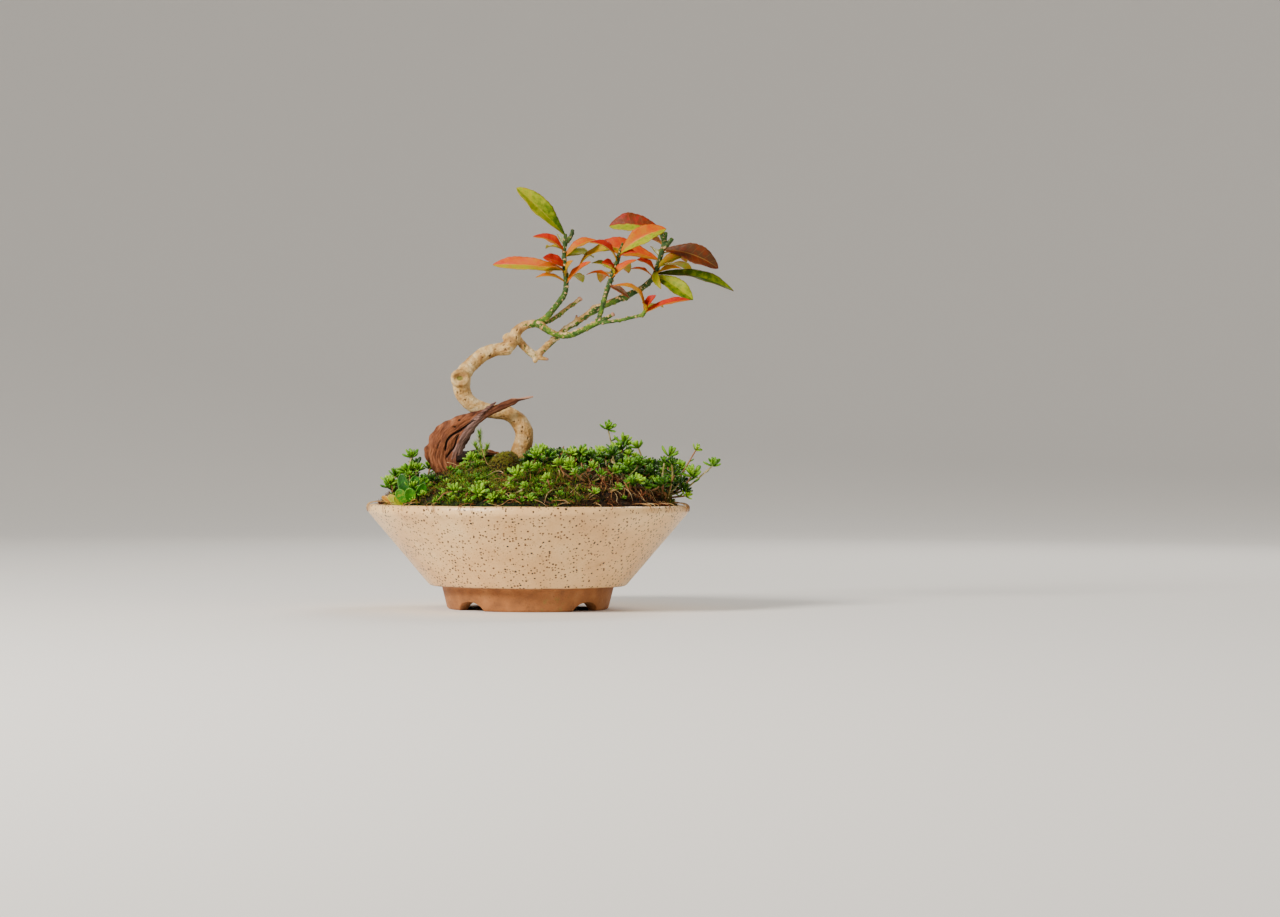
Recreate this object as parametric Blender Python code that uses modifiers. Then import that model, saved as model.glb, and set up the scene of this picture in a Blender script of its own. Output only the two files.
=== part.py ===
"""A small bonsai in a round footed pot: a pale trunk bent in an S, leafy shoots, a slab of weathered
bark and a ground cover of moss and stonecrop.

Blender 4.5, metres, +Z up. The pot's axis stands a little left of the origin, because the origin is
the middle of the whole object's footprint. The front, which the object is seen from, faces -Y.
"""

import math
import random

import bmesh
import bpy
from mathutils import Matrix, Vector

MM = 0.001

# Where the pot's axis stands, so that the origin is the middle of the footprint
POT_AXIS = Vector((-14.4, 0.0, 0.0)) * MM

# Pot
POT_HEIGHT = 65.2
RIM_RADIUS = 100.0
WALL_FOOT_RADIUS = 63.6
FOOT_TOP_RADIUS = 53.4
FOOT_RADIUS = 49.8
FOOT_INNER_RADIUS = 43.4
RECESS_HEIGHT = 9.2
FLOOR_Z = 16.6
DRAIN_RADIUS = 7.0
MOUTH_RADIUS = 94.4
NOTCH_WIDTH = 21.0
NOTCH_HEIGHT = 6.2
NOTCH_TURN = 2.5
NOTCH_SINK = 0.4
NOTCH_LENGTH = 22.0
TURNED_SEGMENTS = 36
SMOOTH_BELOW = math.radians(40)

# Fill; a clearance parts each thing from its neighbour, and a hole is wider than what stands in it
CLEARANCE = 0.3
HOLE_MARGIN = 0.5
SOIL_RADIUS = 93.0
SOIL_EDGE_Z = 60.8
SOIL_RISE = 27.0
MOSS_THICKNESS = 4.6
MOSS_RELIEF = 1.2
MOSS_RINGS = 10
SCREEN_SIZE = 26.0
SCREEN_THICKNESS = 1.0
SCREEN_HOLES = 4

# Cushion of moss against the trunk
CUSHION_AT = Vector((-13.4, -15.4))
CUSHION_RADIUS = 8.2
CUSHION_HEIGHT = 8.5
CUSHION_EDGE = 1.6
CUSHION_RINGS = ((0.35, 6), (0.65, 12), (0.88, 16), (1.0, 16))
CUSHION_SEAT_MARGIN = 0.4
CUSHION_SEAT_Z = 96.0
CUSHION_SEAT_DEPTH = 40.0

# Leaves and stonecrop
BLADE_THICKNESS = 0.7
BLADE_STEPS = 6
SEDUM_LEAF = 6.8
SEDUM_LEAF_WIDTH = 3.8
SEDUM_LEAVES = 6
SEDUM_RISES = (24, 58)
SEDUM_STEM_RADIUS = 0.7
STEM_SIDES = 3
ROOT_RADIUS = 1.5
ROOT_DEPTH = 5.0
ROOT_SHOWS = 2.6
ROOT_JOINT = 0.9

# Trunk, from inside the soil to the first fork: x, y, z, radius
TRUNK = [
    (-7.0, 0.0, 70.0, 6.6),
    (-7.0, 0.0, 80.0, 6.9),
    (-6.2, 0.0, 90.0, 6.6),
    (-5.0, 0.0, 98.6, 6.1),
    (-2.9, 0.3, 106.6, 5.9),
    (-3.8, 0.8, 113.0, 5.6),
    (-8.6, 1.4, 119.4, 5.1),
    (-15.4, 2.0, 122.8, 4.8),
    (-23.4, 2.2, 123.6, 4.7),
    (-32.2, 1.6, 125.8, 4.8),
    (-38.6, 0.8, 130.5, 4.9),
    (-42.1, 0.0, 136.2, 5.2),
    (-42.1, -0.6, 142.6, 5.4),
    (-40.2, -0.8, 148.2, 4.9),
    (-34.5, -0.6, 154.5, 4.6),
    (-28.2, -0.3, 159.4, 4.5),
    (-20.9, 0.0, 162.1, 4.2),
    (-14.5, 0.0, 163.4, 4.4),
    (-10.2, 0.0, 168.2, 4.0),
    (-7.4, -0.3, 174.1, 3.3),
    (-1.8, -0.8, 177.7, 2.7),
    (6.1, -1.5, 179.0, 2.4),
]

# Branches that grow from the trunk, in the same columns; the first point lies inside their parent
BRANCHES = {
    "left_shoot": [
        (4.5, -1.4, 178.9, 2.0),
        (10.5, -1.0, 182.4, 2.0),
        (15.9, -0.6, 188.8, 1.9),
        (21.4, -0.8, 196.2, 1.8),
        (22.6, -1.0, 200.0, 1.7),
    ],
    "left_stub": [
        (5.0, 0.2, 178.4, 1.4),
        (13.5, 3.2, 181.0, 1.4),
        (23.0, 5.0, 188.2, 1.3),
        (32.1, 6.0, 194.8, 1.2),
    ],
    "middle": [
        (4.5, -2.0, 178.6, 2.2),
        (8.2, -3.6, 176.6, 2.2),
        (12.7, -4.6, 173.7, 2.1),
        (19.1, -5.0, 171.2, 2.0),
        (26.7, -5.4, 171.6, 2.0),
        (34.2, -5.6, 174.9, 1.8),
        (42.9, -5.8, 179.1, 1.7),
        (48.0, -6.4, 181.8, 1.4),
        (52.6, -7.0, 184.5, 1.2),
    ],
    "middle_shoot": [
        (42.4, -5.7, 178.6, 1.4),
        (45.4, -5.0, 187.5, 1.5),
        (47.7, -4.0, 196.6, 1.6),
        (49.2, -3.4, 201.2, 1.6),
    ],
    "low_twig": [
        (43.2, -6.2, 178.9, 1.0),
        (50.0, -8.4, 179.6, 1.1),
        (58.0, -10.6, 180.8, 1.1),
        (68.2, -12.4, 183.2, 1.1),
    ],
    "right": [
        (-8.4, 0.8, 170.4, 2.6),
        (-5.4, 2.4, 166.6, 2.5),
        (-1.4, 4.0, 162.6, 2.4),
        (4.2, 5.4, 158.9, 2.6),
        (9.4, 7.0, 163.6, 2.1),
        (15.9, 8.8, 169.6, 2.0),
        (21.3, 10.0, 174.9, 1.9),
        (29.9, 11.4, 180.6, 2.0),
        (40.8, 13.0, 188.2, 2.3),
        (51.5, 14.2, 193.2, 2.2),
        (62.3, 15.4, 197.9, 2.0),
        (71.0, 16.2, 202.6, 1.8),
        (75.2, 16.6, 206.2, 1.7),
    ],
    "elbow_stub": [
        (3.4, 5.4, 158.6, 2.2),
        (7.6, 4.6, 157.2, 1.5),
        (11.6, 4.2, 156.4, 0.9),
    ],
    "spur": [
        (28.0, 11.2, 179.6, 1.0),
        (29.0, 11.0, 182.2, 0.9),
        (29.4, 10.8, 184.6, 0.7),
    ],
    "pruning_collar": [
        (-41.8, 0.0, 142.6, 5.0),
        (-42.7, -3.6, 143.4, 5.9),
        (-43.0, -5.6, 143.8, 5.4),
        (-43.1, -6.6, 143.9, 3.6),
    ],
    "upper_lump": [
        (-10.6, 0.0, 166.6, 3.2),
        (-13.4, -0.4, 170.2, 3.2),
        (-14.4, -0.6, 172.0, 1.8),
    ],
}

# Leafy shoots: the stem's route, then each leaf by the height it leaves the stem at, its tip, its
# width, how far its middle arches above the straight way to the tip, and how many degrees its face
# is rolled towards the front
SPRAYS = {
    "spray_left": {
        "stem": [
            (22.7, -1.0, 200.4, 1.7),
            (22.9, -1.0, 206.0, 1.6),
            (21.8, -1.4, 217.0, 1.5),
            (21.8, -1.0, 226.6, 1.3),
            (22.4, -0.6, 234.8, 1.0),
        ],
        "stubs": [[(22.2, -0.8, 229.0, 1.0), (25.4, 0.4, 232.6, 1.2), (26.8, 0.8, 237.6, 1.2)]],
        "leaves": [
            (233.6, (-8.4, -5.0, 263.3), 12.5, 3.0, 48),
            (223.0, (2.2, -7.0, 232.6), 8.0, 4.0, 30),
            (219.6, (41.8, -1.0, 231.1), 8.0, 3.2, 34),
            (210.5, (5.2, -8.0, 213.6), 6.5, 2.2, 26),
            (212.0, (-23.5, 7.0, 215.8), 10.0, 3.0, 24),
            (215.0, (8.6, -10.0, 219.4), 7.5, 1.0, 62),
            (204.0, (3.8, -4.0, 207.2), 5.5, 2.8, 16),
            (203.0, (38.6, -10.0, 216.9), 7.5, 1.6, 44),
            (207.5, (27.4, -10.5, 217.6), 6.5, 1.2, 70),
            (220.5, (39.7, 17.0, 221.2), 9.0, 3.0, 20),
            (224.0, (9.6, 13.0, 226.6), 7.0, 2.0, 10),
            (227.0, (21.0, 26.0, 233.0), 9.5, 3.0, 0),
            (213.5, (10.0, 27.0, 211.0), 9.5, 3.0, 0),
            (206.0, (33.0, 24.0, 206.0), 9.0, 3.0, 0),
        ],
    },
    "spray_middle": {
        "stem": [
            (49.3, -3.4, 201.6, 1.6),
            (50.5, -3.0, 205.1, 1.6),
            (52.6, -2.4, 211.5, 1.5),
            (54.7, -2.0, 216.9, 1.4),
            (56.2, -2.0, 222.3, 1.3),
            (58.2, -2.0, 229.4, 0.7),
        ],
        "stubs": [],
        "leaves": [
            (217.0, (37.7, -12.0, 228.8), 8.5, 4.0, 36),
            (222.0, (85.5, -7.0, 238.0), 11.0, 4.0, 40),
            (220.0, (67.4, -9.0, 222.6), 5.5, 1.6, 30),
            (206.5, (67.2, -7.0, 218.5), 6.5, 1.8, 44),
            (207.0, (35.6, 0.0, 209.4), 4.8, 2.4, 10),
            (213.5, (45.4, -10.0, 216.4), 6.0, 1.0, 55),
            (210.0, (50.4, -10.5, 214.6), 4.6, 0.8, 60),
            (224.5, (31.0, 5.0, 215.4), 9.0, 4.6, 30),
            (212.0, (38.6, 11.0, 217.4), 6.5, 1.6, 20),
            (214.0, (62.0, 24.0, 212.0), 9.5, 3.0, 0),
            (209.5, (44.0, 24.0, 206.0), 9.0, 3.0, 0),
        ],
    },
    "spray_right": {
        "stem": [
            (75.5, 16.6, 206.5, 1.7),
            (78.5, 17.2, 210.5, 1.7),
            (81.8, 17.8, 221.3, 1.6),
            (83.9, 18.0, 228.8, 1.5),
            (85.5, 18.0, 237.4, 1.2),
        ],
        "stubs": [
            [(83.4, 18.0, 226.0, 1.2), (86.6, 16.6, 230.0, 1.4), (89.4, 15.8, 233.4, 1.4)],
            [(84.4, 18.0, 231.0, 1.1), (82.6, 16.4, 235.6, 1.2), (81.8, 15.6, 239.0, 1.0)],
        ],
        "leaves": [
            (236.4, (49.4, 21.0, 241.6), 13.5, 4.6, 52),
            (220.0, (42.3, 14.5, 230.0), 13.0, 2.6, 56),
            (212.0, (67.2, 8.0, 219.6), 7.5, 1.8, 44),
            (209.0, (63.4, 11.0, 214.0), 4.8, 2.0, 14),
            (209.5, (95.3, 8.0, 214.2), 6.0, 2.2, 26),
            (214.5, (98.6, 10.0, 222.3), 8.0, 2.4, 44),
            (226.4, (118.7, 14.0, 214.7), 13.5, 6.4, 54),
            (211.0, (128.7, 20.0, 200.7), 9.0, 4.6, 30),
            (210.0, (102.8, 9.0, 194.4), 9.0, 3.0, 48),
            (213.0, (82.4, 5.0, 201.0), 5.0, 2.0, 40),
            (221.0, (80.0, 46.0, 226.0), 10.0, 4.0, 0),
            (215.0, (103.0, 40.0, 212.0), 10.0, 4.0, 0),
            (229.0, (64.0, 42.0, 234.0), 10.0, 3.0, 0),
            (224.0, (99.0, 41.0, 220.0), 10.0, 3.0, 0),
        ],
    },
    "spray_low": {
        "stem": [
            (68.5, -12.4, 183.3, 1.1),
            (71.2, -12.8, 184.2, 1.4),
            (72.8, -13.0, 187.2, 1.0),
        ],
        "stubs": [],
        "leaves": [
            (185.2, (52.6, -17.0, 201.8), 7.0, 7.4, 24),
            (184.6, (100.7, -16.0, 193.1), 6.5, 2.4, 26),
            (186.4, (79.2, -16.0, 196.0), 6.5, 1.0, 60),
            (185.6, (70.6, -20.0, 191.0), 4.6, 1.0, 40),
            (186.0, (84.0, -2.0, 189.0), 7.0, 2.4, 0),
        ],
    },
}

# Slab of weathered bark: the middle of each section, its half width across the slab, its half
# thickness, and the slab's lean in the front view
BARK_SECTIONS = [
    (-50.0, -9.0, 74.0, 8.0, 3.4, 4),
    (-51.5, -9.4, 84.0, 10.6, 4.0, 6),
    (-52.6, -9.6, 93.0, 12.2, 4.4, 10),
    (-51.4, -9.8, 100.6, 12.0, 4.4, 18),
    (-47.8, -10.0, 107.8, 10.4, 4.0, 30),
    (-41.8, -10.2, 113.4, 8.2, 3.6, 42),
    (-35.2, -10.6, 117.8, 5.4, 3.2, 52),
    (-28.4, -11.0, 121.2, 3.0, 2.6, 60),
    (-19.0, -11.2, 125.2, 2.3, 2.0, 64),
    (-9.0, -11.2, 129.6, 1.8, 1.5, 72),
    (-2.0, -11.0, 131.6, 1.0, 0.9, 80),
    (3.0, -10.8, 132.6, 0.5, 0.5, 84),
]
BARK_FLUTES = 5
BARK_RING = 16
BARK_SPUR = [
    (-50.0, -9.6, 93.0, 3.8),
    (-38.0, -8.8, 95.2, 3.4),
    (-27.0, -8.0, 97.2, 2.4),
    (-18.4, -7.4, 97.6, 0.6),
]

# Plants of the ground cover: where each is rooted, its heads, how far they spread and how tall it is
SEDUM_CLUMPS = {
    "sedum_front": (8.0, -42.0, 5, 9.0, 11.0),
    "sedum_front_right": (38.0, -54.0, 5, 9.5, 12.0),
    "sedum_right_front": (60.0, -27.0, 5, 10.0, 16.0),
    "sedum_right": (83.0, -4.0, 4, 9.0, 16.0),
    "sedum_centre_right": (28.0, -18.0, 5, 9.5, 13.0),
    "sedum_centre": (20.0, 12.0, 4, 8.0, 12.0),
    "sedum_tall": (54.0, 10.0, 4, 9.0, 21.0),
    "sedum_right_back": (68.0, 42.0, 4, 10.0, 14.0),
    "sedum_back": (28.0, 46.0, 5, 10.0, 13.0),
    "sedum_back_middle": (2.0, 74.0, 3, 9.0, 11.0),
    "sedum_back_left": (-38.0, 54.0, 4, 10.0, 12.0),
    "sedum_left_back": (-72.0, 26.0, 3, 9.0, 12.0),
    "sedum_left": (-80.0, -24.0, 3, 6.0, 12.0),
    "sedum_front_left": (-28.0, -62.0, 4, 9.0, 8.0),
    "sedum_by_bark": (-39.0, -32.0, 2, 6.0, 11.0),
}
# Sprigs that stand above their plant or reach out past the rim: the place of the head
LONG_SPRIGS = {
    "sedum_right": (115.5, -12.0, 89.5),
    "sedum_tall": (49.5, 6.0, 112.0),
    "sedum_left": (-71.5, -22.0, 94.0),
}
SPOON_PLANT_AT = Vector((-66.0, -55.0))
SPOON_WIDTH = 7.0
SPOON_SUNK = 1.6
# Each tier of spoon leaves: name, height above the crown, leaves, their length and their two rises
SPOON_TIERS = [
    ("outer_leaves", 0.2, 6, 10.5, (26, 34)),
    ("inner_leaves", 1.4, 3, 9.5, (56, 64)),
]
FINE_SPRIG_AT = Vector((-29.0, -20.0))
FINE_SPRIG_TOP = Vector((-30.0, -21.0, 110.0))
FINE_STEM_RADII = (0.8, 0.7, 0.5)
FINE_STEM_BOW = 1.4
FINE_NEEDLES = 10
NEEDLE_RADII = (0.5, 0.16)
NEEDLE_LENGTHS = (5.2, 3.4)
NEEDLE_TURN = 2.4


def clear_scene():
    for item in list(bpy.data.objects):
        bpy.data.objects.remove(item)


def material(name, colour, roughness, metallic=0.0):
    """A plain Principled material in the sub-part's own colour."""
    made = bpy.data.materials.new(name)
    made.use_nodes = True
    shader = made.node_tree.nodes["Principled BSDF"]
    shader.inputs["Base Color"].default_value = (*colour, 1.0)
    shader.inputs["Roughness"].default_value = roughness
    shader.inputs["Metallic"].default_value = metallic
    made.diffuse_color = (*colour, 1.0)
    return made


def link(obj, collection):
    collection.objects.link(obj)
    return obj


def smoothed(mesh):
    """Shades a mesh smooth, apart from its sharp edges."""
    mesh.shade_smooth()
    mesh.set_sharp_from_angle(angle=SMOOTH_BELOW)


def object_from(name, mesh, collection, finish=None):
    obj = bpy.data.objects.new(name, mesh)
    if finish:
        mesh.materials.clear()
        mesh.materials.append(finish)
        smoothed(mesh)
    return link(obj, collection)


def mesh_from(name, shape):
    """A mesh from a bmesh, with its faces turned outwards."""
    bmesh.ops.recalc_face_normals(shape, faces=shape.faces)
    mesh = bpy.data.meshes.new(name)
    shape.to_mesh(mesh)
    shape.free()
    return mesh


def smooth_route(points, steps):
    """Points read from a smooth curve through a route's own points, radius included."""
    made = []
    last = len(points) - 1
    for i in range(last):
        before = Vector(points[max(i - 1, 0)])
        start = Vector(points[i])
        end = Vector(points[i + 1])
        after = Vector(points[min(i + 2, last)])
        for step in range(steps):
            t = step / steps
            made.append(
                0.5
                * (
                    2 * start
                    + (end - before) * t
                    + (2 * before - 5 * start + 4 * end - after) * t**2
                    + (3 * start - before - 3 * end + after) * t**3
                )
            )
    made.append(Vector(points[last]))
    return made


def route_points(points, steps):
    """The same for 4-vectors of place and radius, given as tuples in millimetres."""
    places = smooth_route([p[:3] for p in points], steps)
    radii = smooth_route([(p[3], 0.0, 0.0) for p in points], steps)
    return [(place, radius.x) for place, radius in zip(places, radii)]


def tube(name, points, collection, steps=2, sides=8, grow=0.0):
    """A closed tube along a route, made as a bevelled curve and then turned into a mesh."""
    curve = bpy.data.curves.new(name, "CURVE")
    curve.dimensions = "3D"
    curve.bevel_depth = MM
    curve.bevel_resolution = (sides - 4) // 2
    curve.use_fill_caps = True
    spline = curve.splines.new("POLY")
    route = route_points(points, steps)
    spline.points.add(len(route) - 1)
    for target, (place, radius) in zip(spline.points, route):
        target.co = (*(place * MM), 1.0)
        target.radius = radius + grow
    guide = link(bpy.data.objects.new(name + "_route", curve), collection)
    bpy.context.view_layer.update()
    graph = bpy.context.evaluated_depsgraph_get()
    mesh = bpy.data.meshes.new_from_object(guide.evaluated_get(graph))
    bpy.data.objects.remove(guide)
    shape = bmesh.new()
    shape.from_mesh(mesh)
    bmesh.ops.remove_doubles(shape, verts=shape.verts, dist=0.00001)
    bmesh.ops.recalc_face_normals(shape, faces=shape.faces)
    shape.to_mesh(mesh)
    shape.free()
    return object_from(name, mesh, collection)


def applied(obj):
    """Replaces an object's mesh by the one that its modifiers give."""
    bpy.context.view_layer.update()
    graph = bpy.context.evaluated_depsgraph_get()
    mesh = bpy.data.meshes.new_from_object(obj.evaluated_get(graph))
    obj.modifiers.clear()
    obj.data = mesh
    return obj


def joined(name, first, others, finish):
    """One body from overlapping pieces, by a Boolean union on a collection."""
    pieces = bpy.data.collections.new(name + "_pieces")
    bpy.context.scene.collection.children.link(pieces)
    for other in others:
        for home in other.users_collection:
            home.objects.unlink(other)
        pieces.objects.link(other)
    union = first.modifiers.new("join", "BOOLEAN")
    union.operation = "UNION"
    union.operand_type = "COLLECTION"
    union.collection = pieces
    applied(first)
    for other in others:
        bpy.data.objects.remove(other)
    bpy.data.collections.remove(pieces)
    first.name = name
    first.data.name = name
    first.data.materials.clear()
    first.data.materials.append(finish)
    smoothed(first.data)
    return first


def cut(obj, cutter):
    difference = obj.modifiers.new("cut_" + cutter.name, "BOOLEAN")
    difference.operation = "DIFFERENCE"
    difference.object = cutter
    return obj


def as_cutter(obj, cutters):
    for home in obj.users_collection:
        home.objects.unlink(obj)
    cutters.objects.link(obj)
    obj.hide_render = True
    obj.display_type = "WIRE"
    return obj


def soil_top(x, y):
    """Height of the soil's dome over a point of the plan."""
    share = min(math.hypot(x, y) / SOIL_RADIUS, 1.0)
    return SOIL_EDGE_Z + SOIL_RISE * (1.0 - share**2.2)


def soil_bottom(x, y):
    """Height of the pot's inner wall plus the clearance, over a point of the plan."""
    wall = [
        (0.0, FLOOR_Z + SCREEN_THICKNESS + 3 * CLEARANCE),
        (19.0, FLOOR_Z + SCREEN_THICKNESS + 3 * CLEARANCE),
        (20.5, FLOOR_Z + CLEARANCE),
        (49.4, FLOOR_Z + CLEARANCE),
        (61.4, 22.6),
        (SOIL_RADIUS, 60.4),
    ]
    radius = math.hypot(x, y)
    for (r0, z0), (r1, z1) in zip(wall, wall[1:]):
        if radius <= r1:
            return z0 + (z1 - z0) * (radius - r0) / (r1 - r0)
    return wall[-1][1]


def moss_relief(x, y):
    """Soft tufts, as waves that cross each other."""
    waves = (
        math.sin(0.36 * x + 0.9) * math.cos(0.31 * y - 0.4)
        + 0.7 * math.sin(0.23 * x - 0.41 * y + 2.1)
        + 0.5 * math.sin(0.52 * y + 0.17 * x)
    )
    return MOSS_RELIEF * waves / 1.6


def moss_top(x, y):
    """Height of the moss: thinner at the rim, where it rolls down inside the lip."""
    share = math.hypot(x, y) / SOIL_RADIUS
    roll = max(0.0, (share - 0.9) / 0.1)
    return soil_top(x, y) + CLEARANCE + MOSS_THICKNESS * (1.0 - 0.35 * roll**2) + moss_relief(x, y)


def stitched(shape, inner, outer):
    """Triangles between two rings that may have different numbers of points."""
    i = j = 0
    while i < len(inner) or j < len(outer):
        a = inner[i % len(inner)]
        b = outer[j % len(outer)]
        if (j + 0.5) / len(outer) <= (i + 0.5) / len(inner):
            j += 1
            shape.faces.new((a, b, outer[j % len(outer)]))
        else:
            i += 1
            shape.faces.new((a, b, inner[i % len(inner)]))


def pad(name, centre, top_rings, bottom_rings, top, bottom, collection, finish):
    """A closed pad between two height functions over a round plan; a ring is a radius and a count."""
    shape = bmesh.new()

    def surface(plan, height):
        """Faces over the whole plan, and the points of their outer ring."""
        middle = shape.verts.new((centre.x * MM, centre.y * MM, height(centre.x, centre.y) * MM))
        rings = []
        for radius, count in plan:
            ring = []
            for k in range(count):
                angle = math.tau * k / count
                x = centre.x + radius * math.cos(angle)
                y = centre.y + radius * math.sin(angle)
                ring.append(shape.verts.new((x * MM, y * MM, height(x, y) * MM)))
            rings.append(ring)
        for k in range(len(rings[0])):
            shape.faces.new((middle, rings[0][k], rings[0][(k + 1) % len(rings[0])]))
        for inner, outer in zip(rings, rings[1:]):
            stitched(shape, inner, outer)
        return rings[-1]

    upper = surface(top_rings, top)
    lower = surface(bottom_rings, bottom)
    stitched(shape, upper, lower)
    return object_from(name, mesh_from(name, shape), collection, finish)


def turned(name, profile, collection, finish):
    """A profile of radius and height, turned about the axis by a Screw modifier."""
    mesh = bpy.data.meshes.new(name)
    count = len(profile)
    corners = [(r * MM, 0.0, z * MM) for r, z in profile]
    mesh.from_pydata(corners, [(i, (i + 1) % count) for i in range(count)], [])
    obj = object_from(name, mesh, collection, finish)
    screw = obj.modifiers.new("turn", "SCREW")
    screw.steps = TURNED_SEGMENTS
    screw.render_steps = TURNED_SEGMENTS
    screw.use_merge_vertices = True
    screw.merge_threshold = 0.00001
    screw.use_normal_calculate = True
    return applied(obj)


def make_pot(collection, cutters, finish):
    profile = [
        (96.8, POT_HEIGHT),
        (99.2, POT_HEIGHT - 1.0),
        (RIM_RADIUS, POT_HEIGHT - 3.2),
        (99.2, POT_HEIGHT - 6.4),
        (96.2, POT_HEIGHT - 9.6),
        (WALL_FOOT_RADIUS, 17.6),
        (60.8, 14.8),
        (FOOT_TOP_RADIUS, 13.8),
        (50.8, 1.2),
        (FOOT_RADIUS, 0.0),
        (FOOT_INNER_RADIUS, 0.0),
        (41.4, RECESS_HEIGHT),
        (DRAIN_RADIUS, RECESS_HEIGHT + 1.0),
        (DRAIN_RADIUS, FLOOR_Z),
        (49.8, FLOOR_Z),
        (61.9, 22.1),
        (93.5, 60.0),
        (MOUTH_RADIUS, POT_HEIGHT - 0.8),
    ]
    pot = turned("pot", profile, collection, finish)
    middle = (FOOT_RADIUS + FOOT_INNER_RADIUS) / 2
    for k in range(4):
        angle = math.radians(45 + 90 * k + NOTCH_TURN)
        bpy.ops.mesh.primitive_cylinder_add(vertices=16, radius=1.0, depth=1.0)
        notch = bpy.context.object
        notch.name = "notch_%d" % k
        size = Matrix.Diagonal((NOTCH_HEIGHT, NOTCH_WIDTH / 2, NOTCH_LENGTH, 1.0))
        lie = Matrix.Rotation(math.radians(90), 4, "Y")
        place = Matrix.Translation(Vector((middle, 0.0, -NOTCH_SINK)))
        turn = Matrix.Rotation(angle, 4, "Z")
        notch.data.transform(Matrix.Scale(MM, 4) @ turn @ place @ lie @ size)
        cut(pot, as_cutter(notch, cutters))
    return applied(pot)


def make_screen(collection, finish):
    """Plastic mesh over the drain hole: a square grid whose edges are made into bars."""
    bpy.ops.mesh.primitive_grid_add(
        x_subdivisions=SCREEN_HOLES,
        y_subdivisions=SCREEN_HOLES,
        size=(SCREEN_SIZE - SCREEN_THICKNESS) * MM,
    )
    screen = bpy.context.object
    screen.name = "drain_screen"
    height = FLOOR_Z + CLEARANCE + SCREEN_THICKNESS / 2
    screen.data.transform(Matrix.Translation(Vector((0.0, 0.0, height * MM))))
    bars = screen.modifiers.new("bars", "WIREFRAME")
    bars.thickness = SCREEN_THICKNESS * MM
    bars.use_replace = True
    bars.use_boundary = True
    for home in screen.users_collection:
        home.objects.unlink(screen)
    screen.data.materials.append(finish)
    return applied(link(screen, collection))


def make_trunk(collection, finish):
    """Trunk and branches, which grew as one piece."""
    stem = tube("trunk", TRUNK, collection, steps=2, sides=10)
    branches = []
    for name, points in BRANCHES.items():
        sides = 8 if points[0][3] > 2.3 else 6
        branches.append(tube(name, points, collection, steps=1, sides=sides))
    return joined("trunk", stem, branches, finish)


def blade(name, base, tip, width, arch, roll, collection):
    """One leaf: an arched, folded sheet with a toothed edge, thickened to a closed body."""
    along = tip - base
    level = Vector((0.0, 0.0, 1.0)).cross(along).normalized()
    level = Matrix.Rotation(math.radians(roll), 3, along.normalized()) @ level
    if level.y > 0:
        level = -level
    face = along.normalized().cross(level)
    if face.z < 0:
        face = -face
    shape = bmesh.new()
    rows = []
    for i in range(BLADE_STEPS + 1):
        t = i / BLADE_STEPS
        middle = base + along * t + face * arch * 4 * t * (1 - t)
        if i == BLADE_STEPS:
            rows.append([shape.verts.new(middle * MM)])
            continue
        half = width / 2 * math.sin(math.pi * t**0.8) ** 0.9 if i else 0.0
        half *= 0.93 if i % 2 else 1.04
        half = max(half, 0.55)
        lift = 0.32 * half + (0.5 if i % 2 else -0.3) * (t > 0.2)
        sides = [middle + level * half * s + face * lift for s in (-1, 1)]
        rows.append([shape.verts.new(p * MM) for p in (sides[0], middle, sides[1])])
    for a, b in zip(rows, rows[1:]):
        for k in range(2):
            if len(b) == 1:
                shape.faces.new((a[k], a[k + 1], b[0]))
            elif k == 0:
                shape.faces.new((a[0], a[1], b[0]))
                shape.faces.new((a[1], b[1], b[0]))
            else:
                shape.faces.new((a[1], a[2], b[2]))
                shape.faces.new((a[1], b[2], b[1]))
    obj = object_from(name, mesh_from(name, shape), collection)
    thick = obj.modifiers.new("thickness", "SOLIDIFY")
    thick.thickness = BLADE_THICKNESS * MM
    thick.offset = 0.0
    return applied(obj)


def stem_at(points, height):
    """The point of a stem's centre line at a height."""
    for low, high in zip(points, points[1:]):
        if height <= high[2]:
            share = (height - low[2]) / (high[2] - low[2])
            return Vector(low[:3]).lerp(Vector(high[:3]), share)
    return Vector(points[-1][:3])


def make_spray(name, plan, collection, finish):
    """A leafy shoot: its green stem, cut stubs and leaves in one body."""
    stem = tube(name, plan["stem"], collection, steps=1, sides=6)
    pieces = [tube(name + "_stub", p, collection, steps=1, sides=6) for p in plan["stubs"]]
    for height, tip, width, arch, roll in plan["leaves"]:
        base = stem_at(plan["stem"], height)
        pieces.append(blade(name + "_leaf", base, Vector(tip), width, arch, roll, collection))
    return joined(name, stem, pieces, finish)


def bark_body(name, collection, grow=0.0):
    """Loft through the slab's sections, each an oval with flutes along its length."""
    shape = bmesh.new()
    rings = []
    for x, y, z, half, thick, lean in BARK_SECTIONS:
        across = Vector((math.cos(math.radians(lean)), 0.12, -math.sin(math.radians(lean))))
        ring = []
        for k in range(BARK_RING):
            angle = math.tau * k / BARK_RING
            flute = 1.0 + 0.16 * math.cos(BARK_FLUTES * angle + 0.05 * z)
            wide = (half + grow) * math.cos(angle)
            bend = 0.16 * wide**2 / max(half, 1.0) - 0.05 * half
            deep = (thick * flute + grow) * math.sin(angle) + bend
            ring.append(shape.verts.new((Vector((x, y + deep, z)) + across * wide) * MM))
        rings.append(ring)
    for low, high in zip(rings, rings[1:]):
        for k in range(BARK_RING):
            n = (k + 1) % BARK_RING
            shape.faces.new((low[k], low[n], high[n]))
            shape.faces.new((low[k], high[n], high[k]))
    for ring in (rings[0], rings[-1]):
        shape.faces.new(ring)
    return object_from(name, mesh_from(name, shape), collection)


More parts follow.
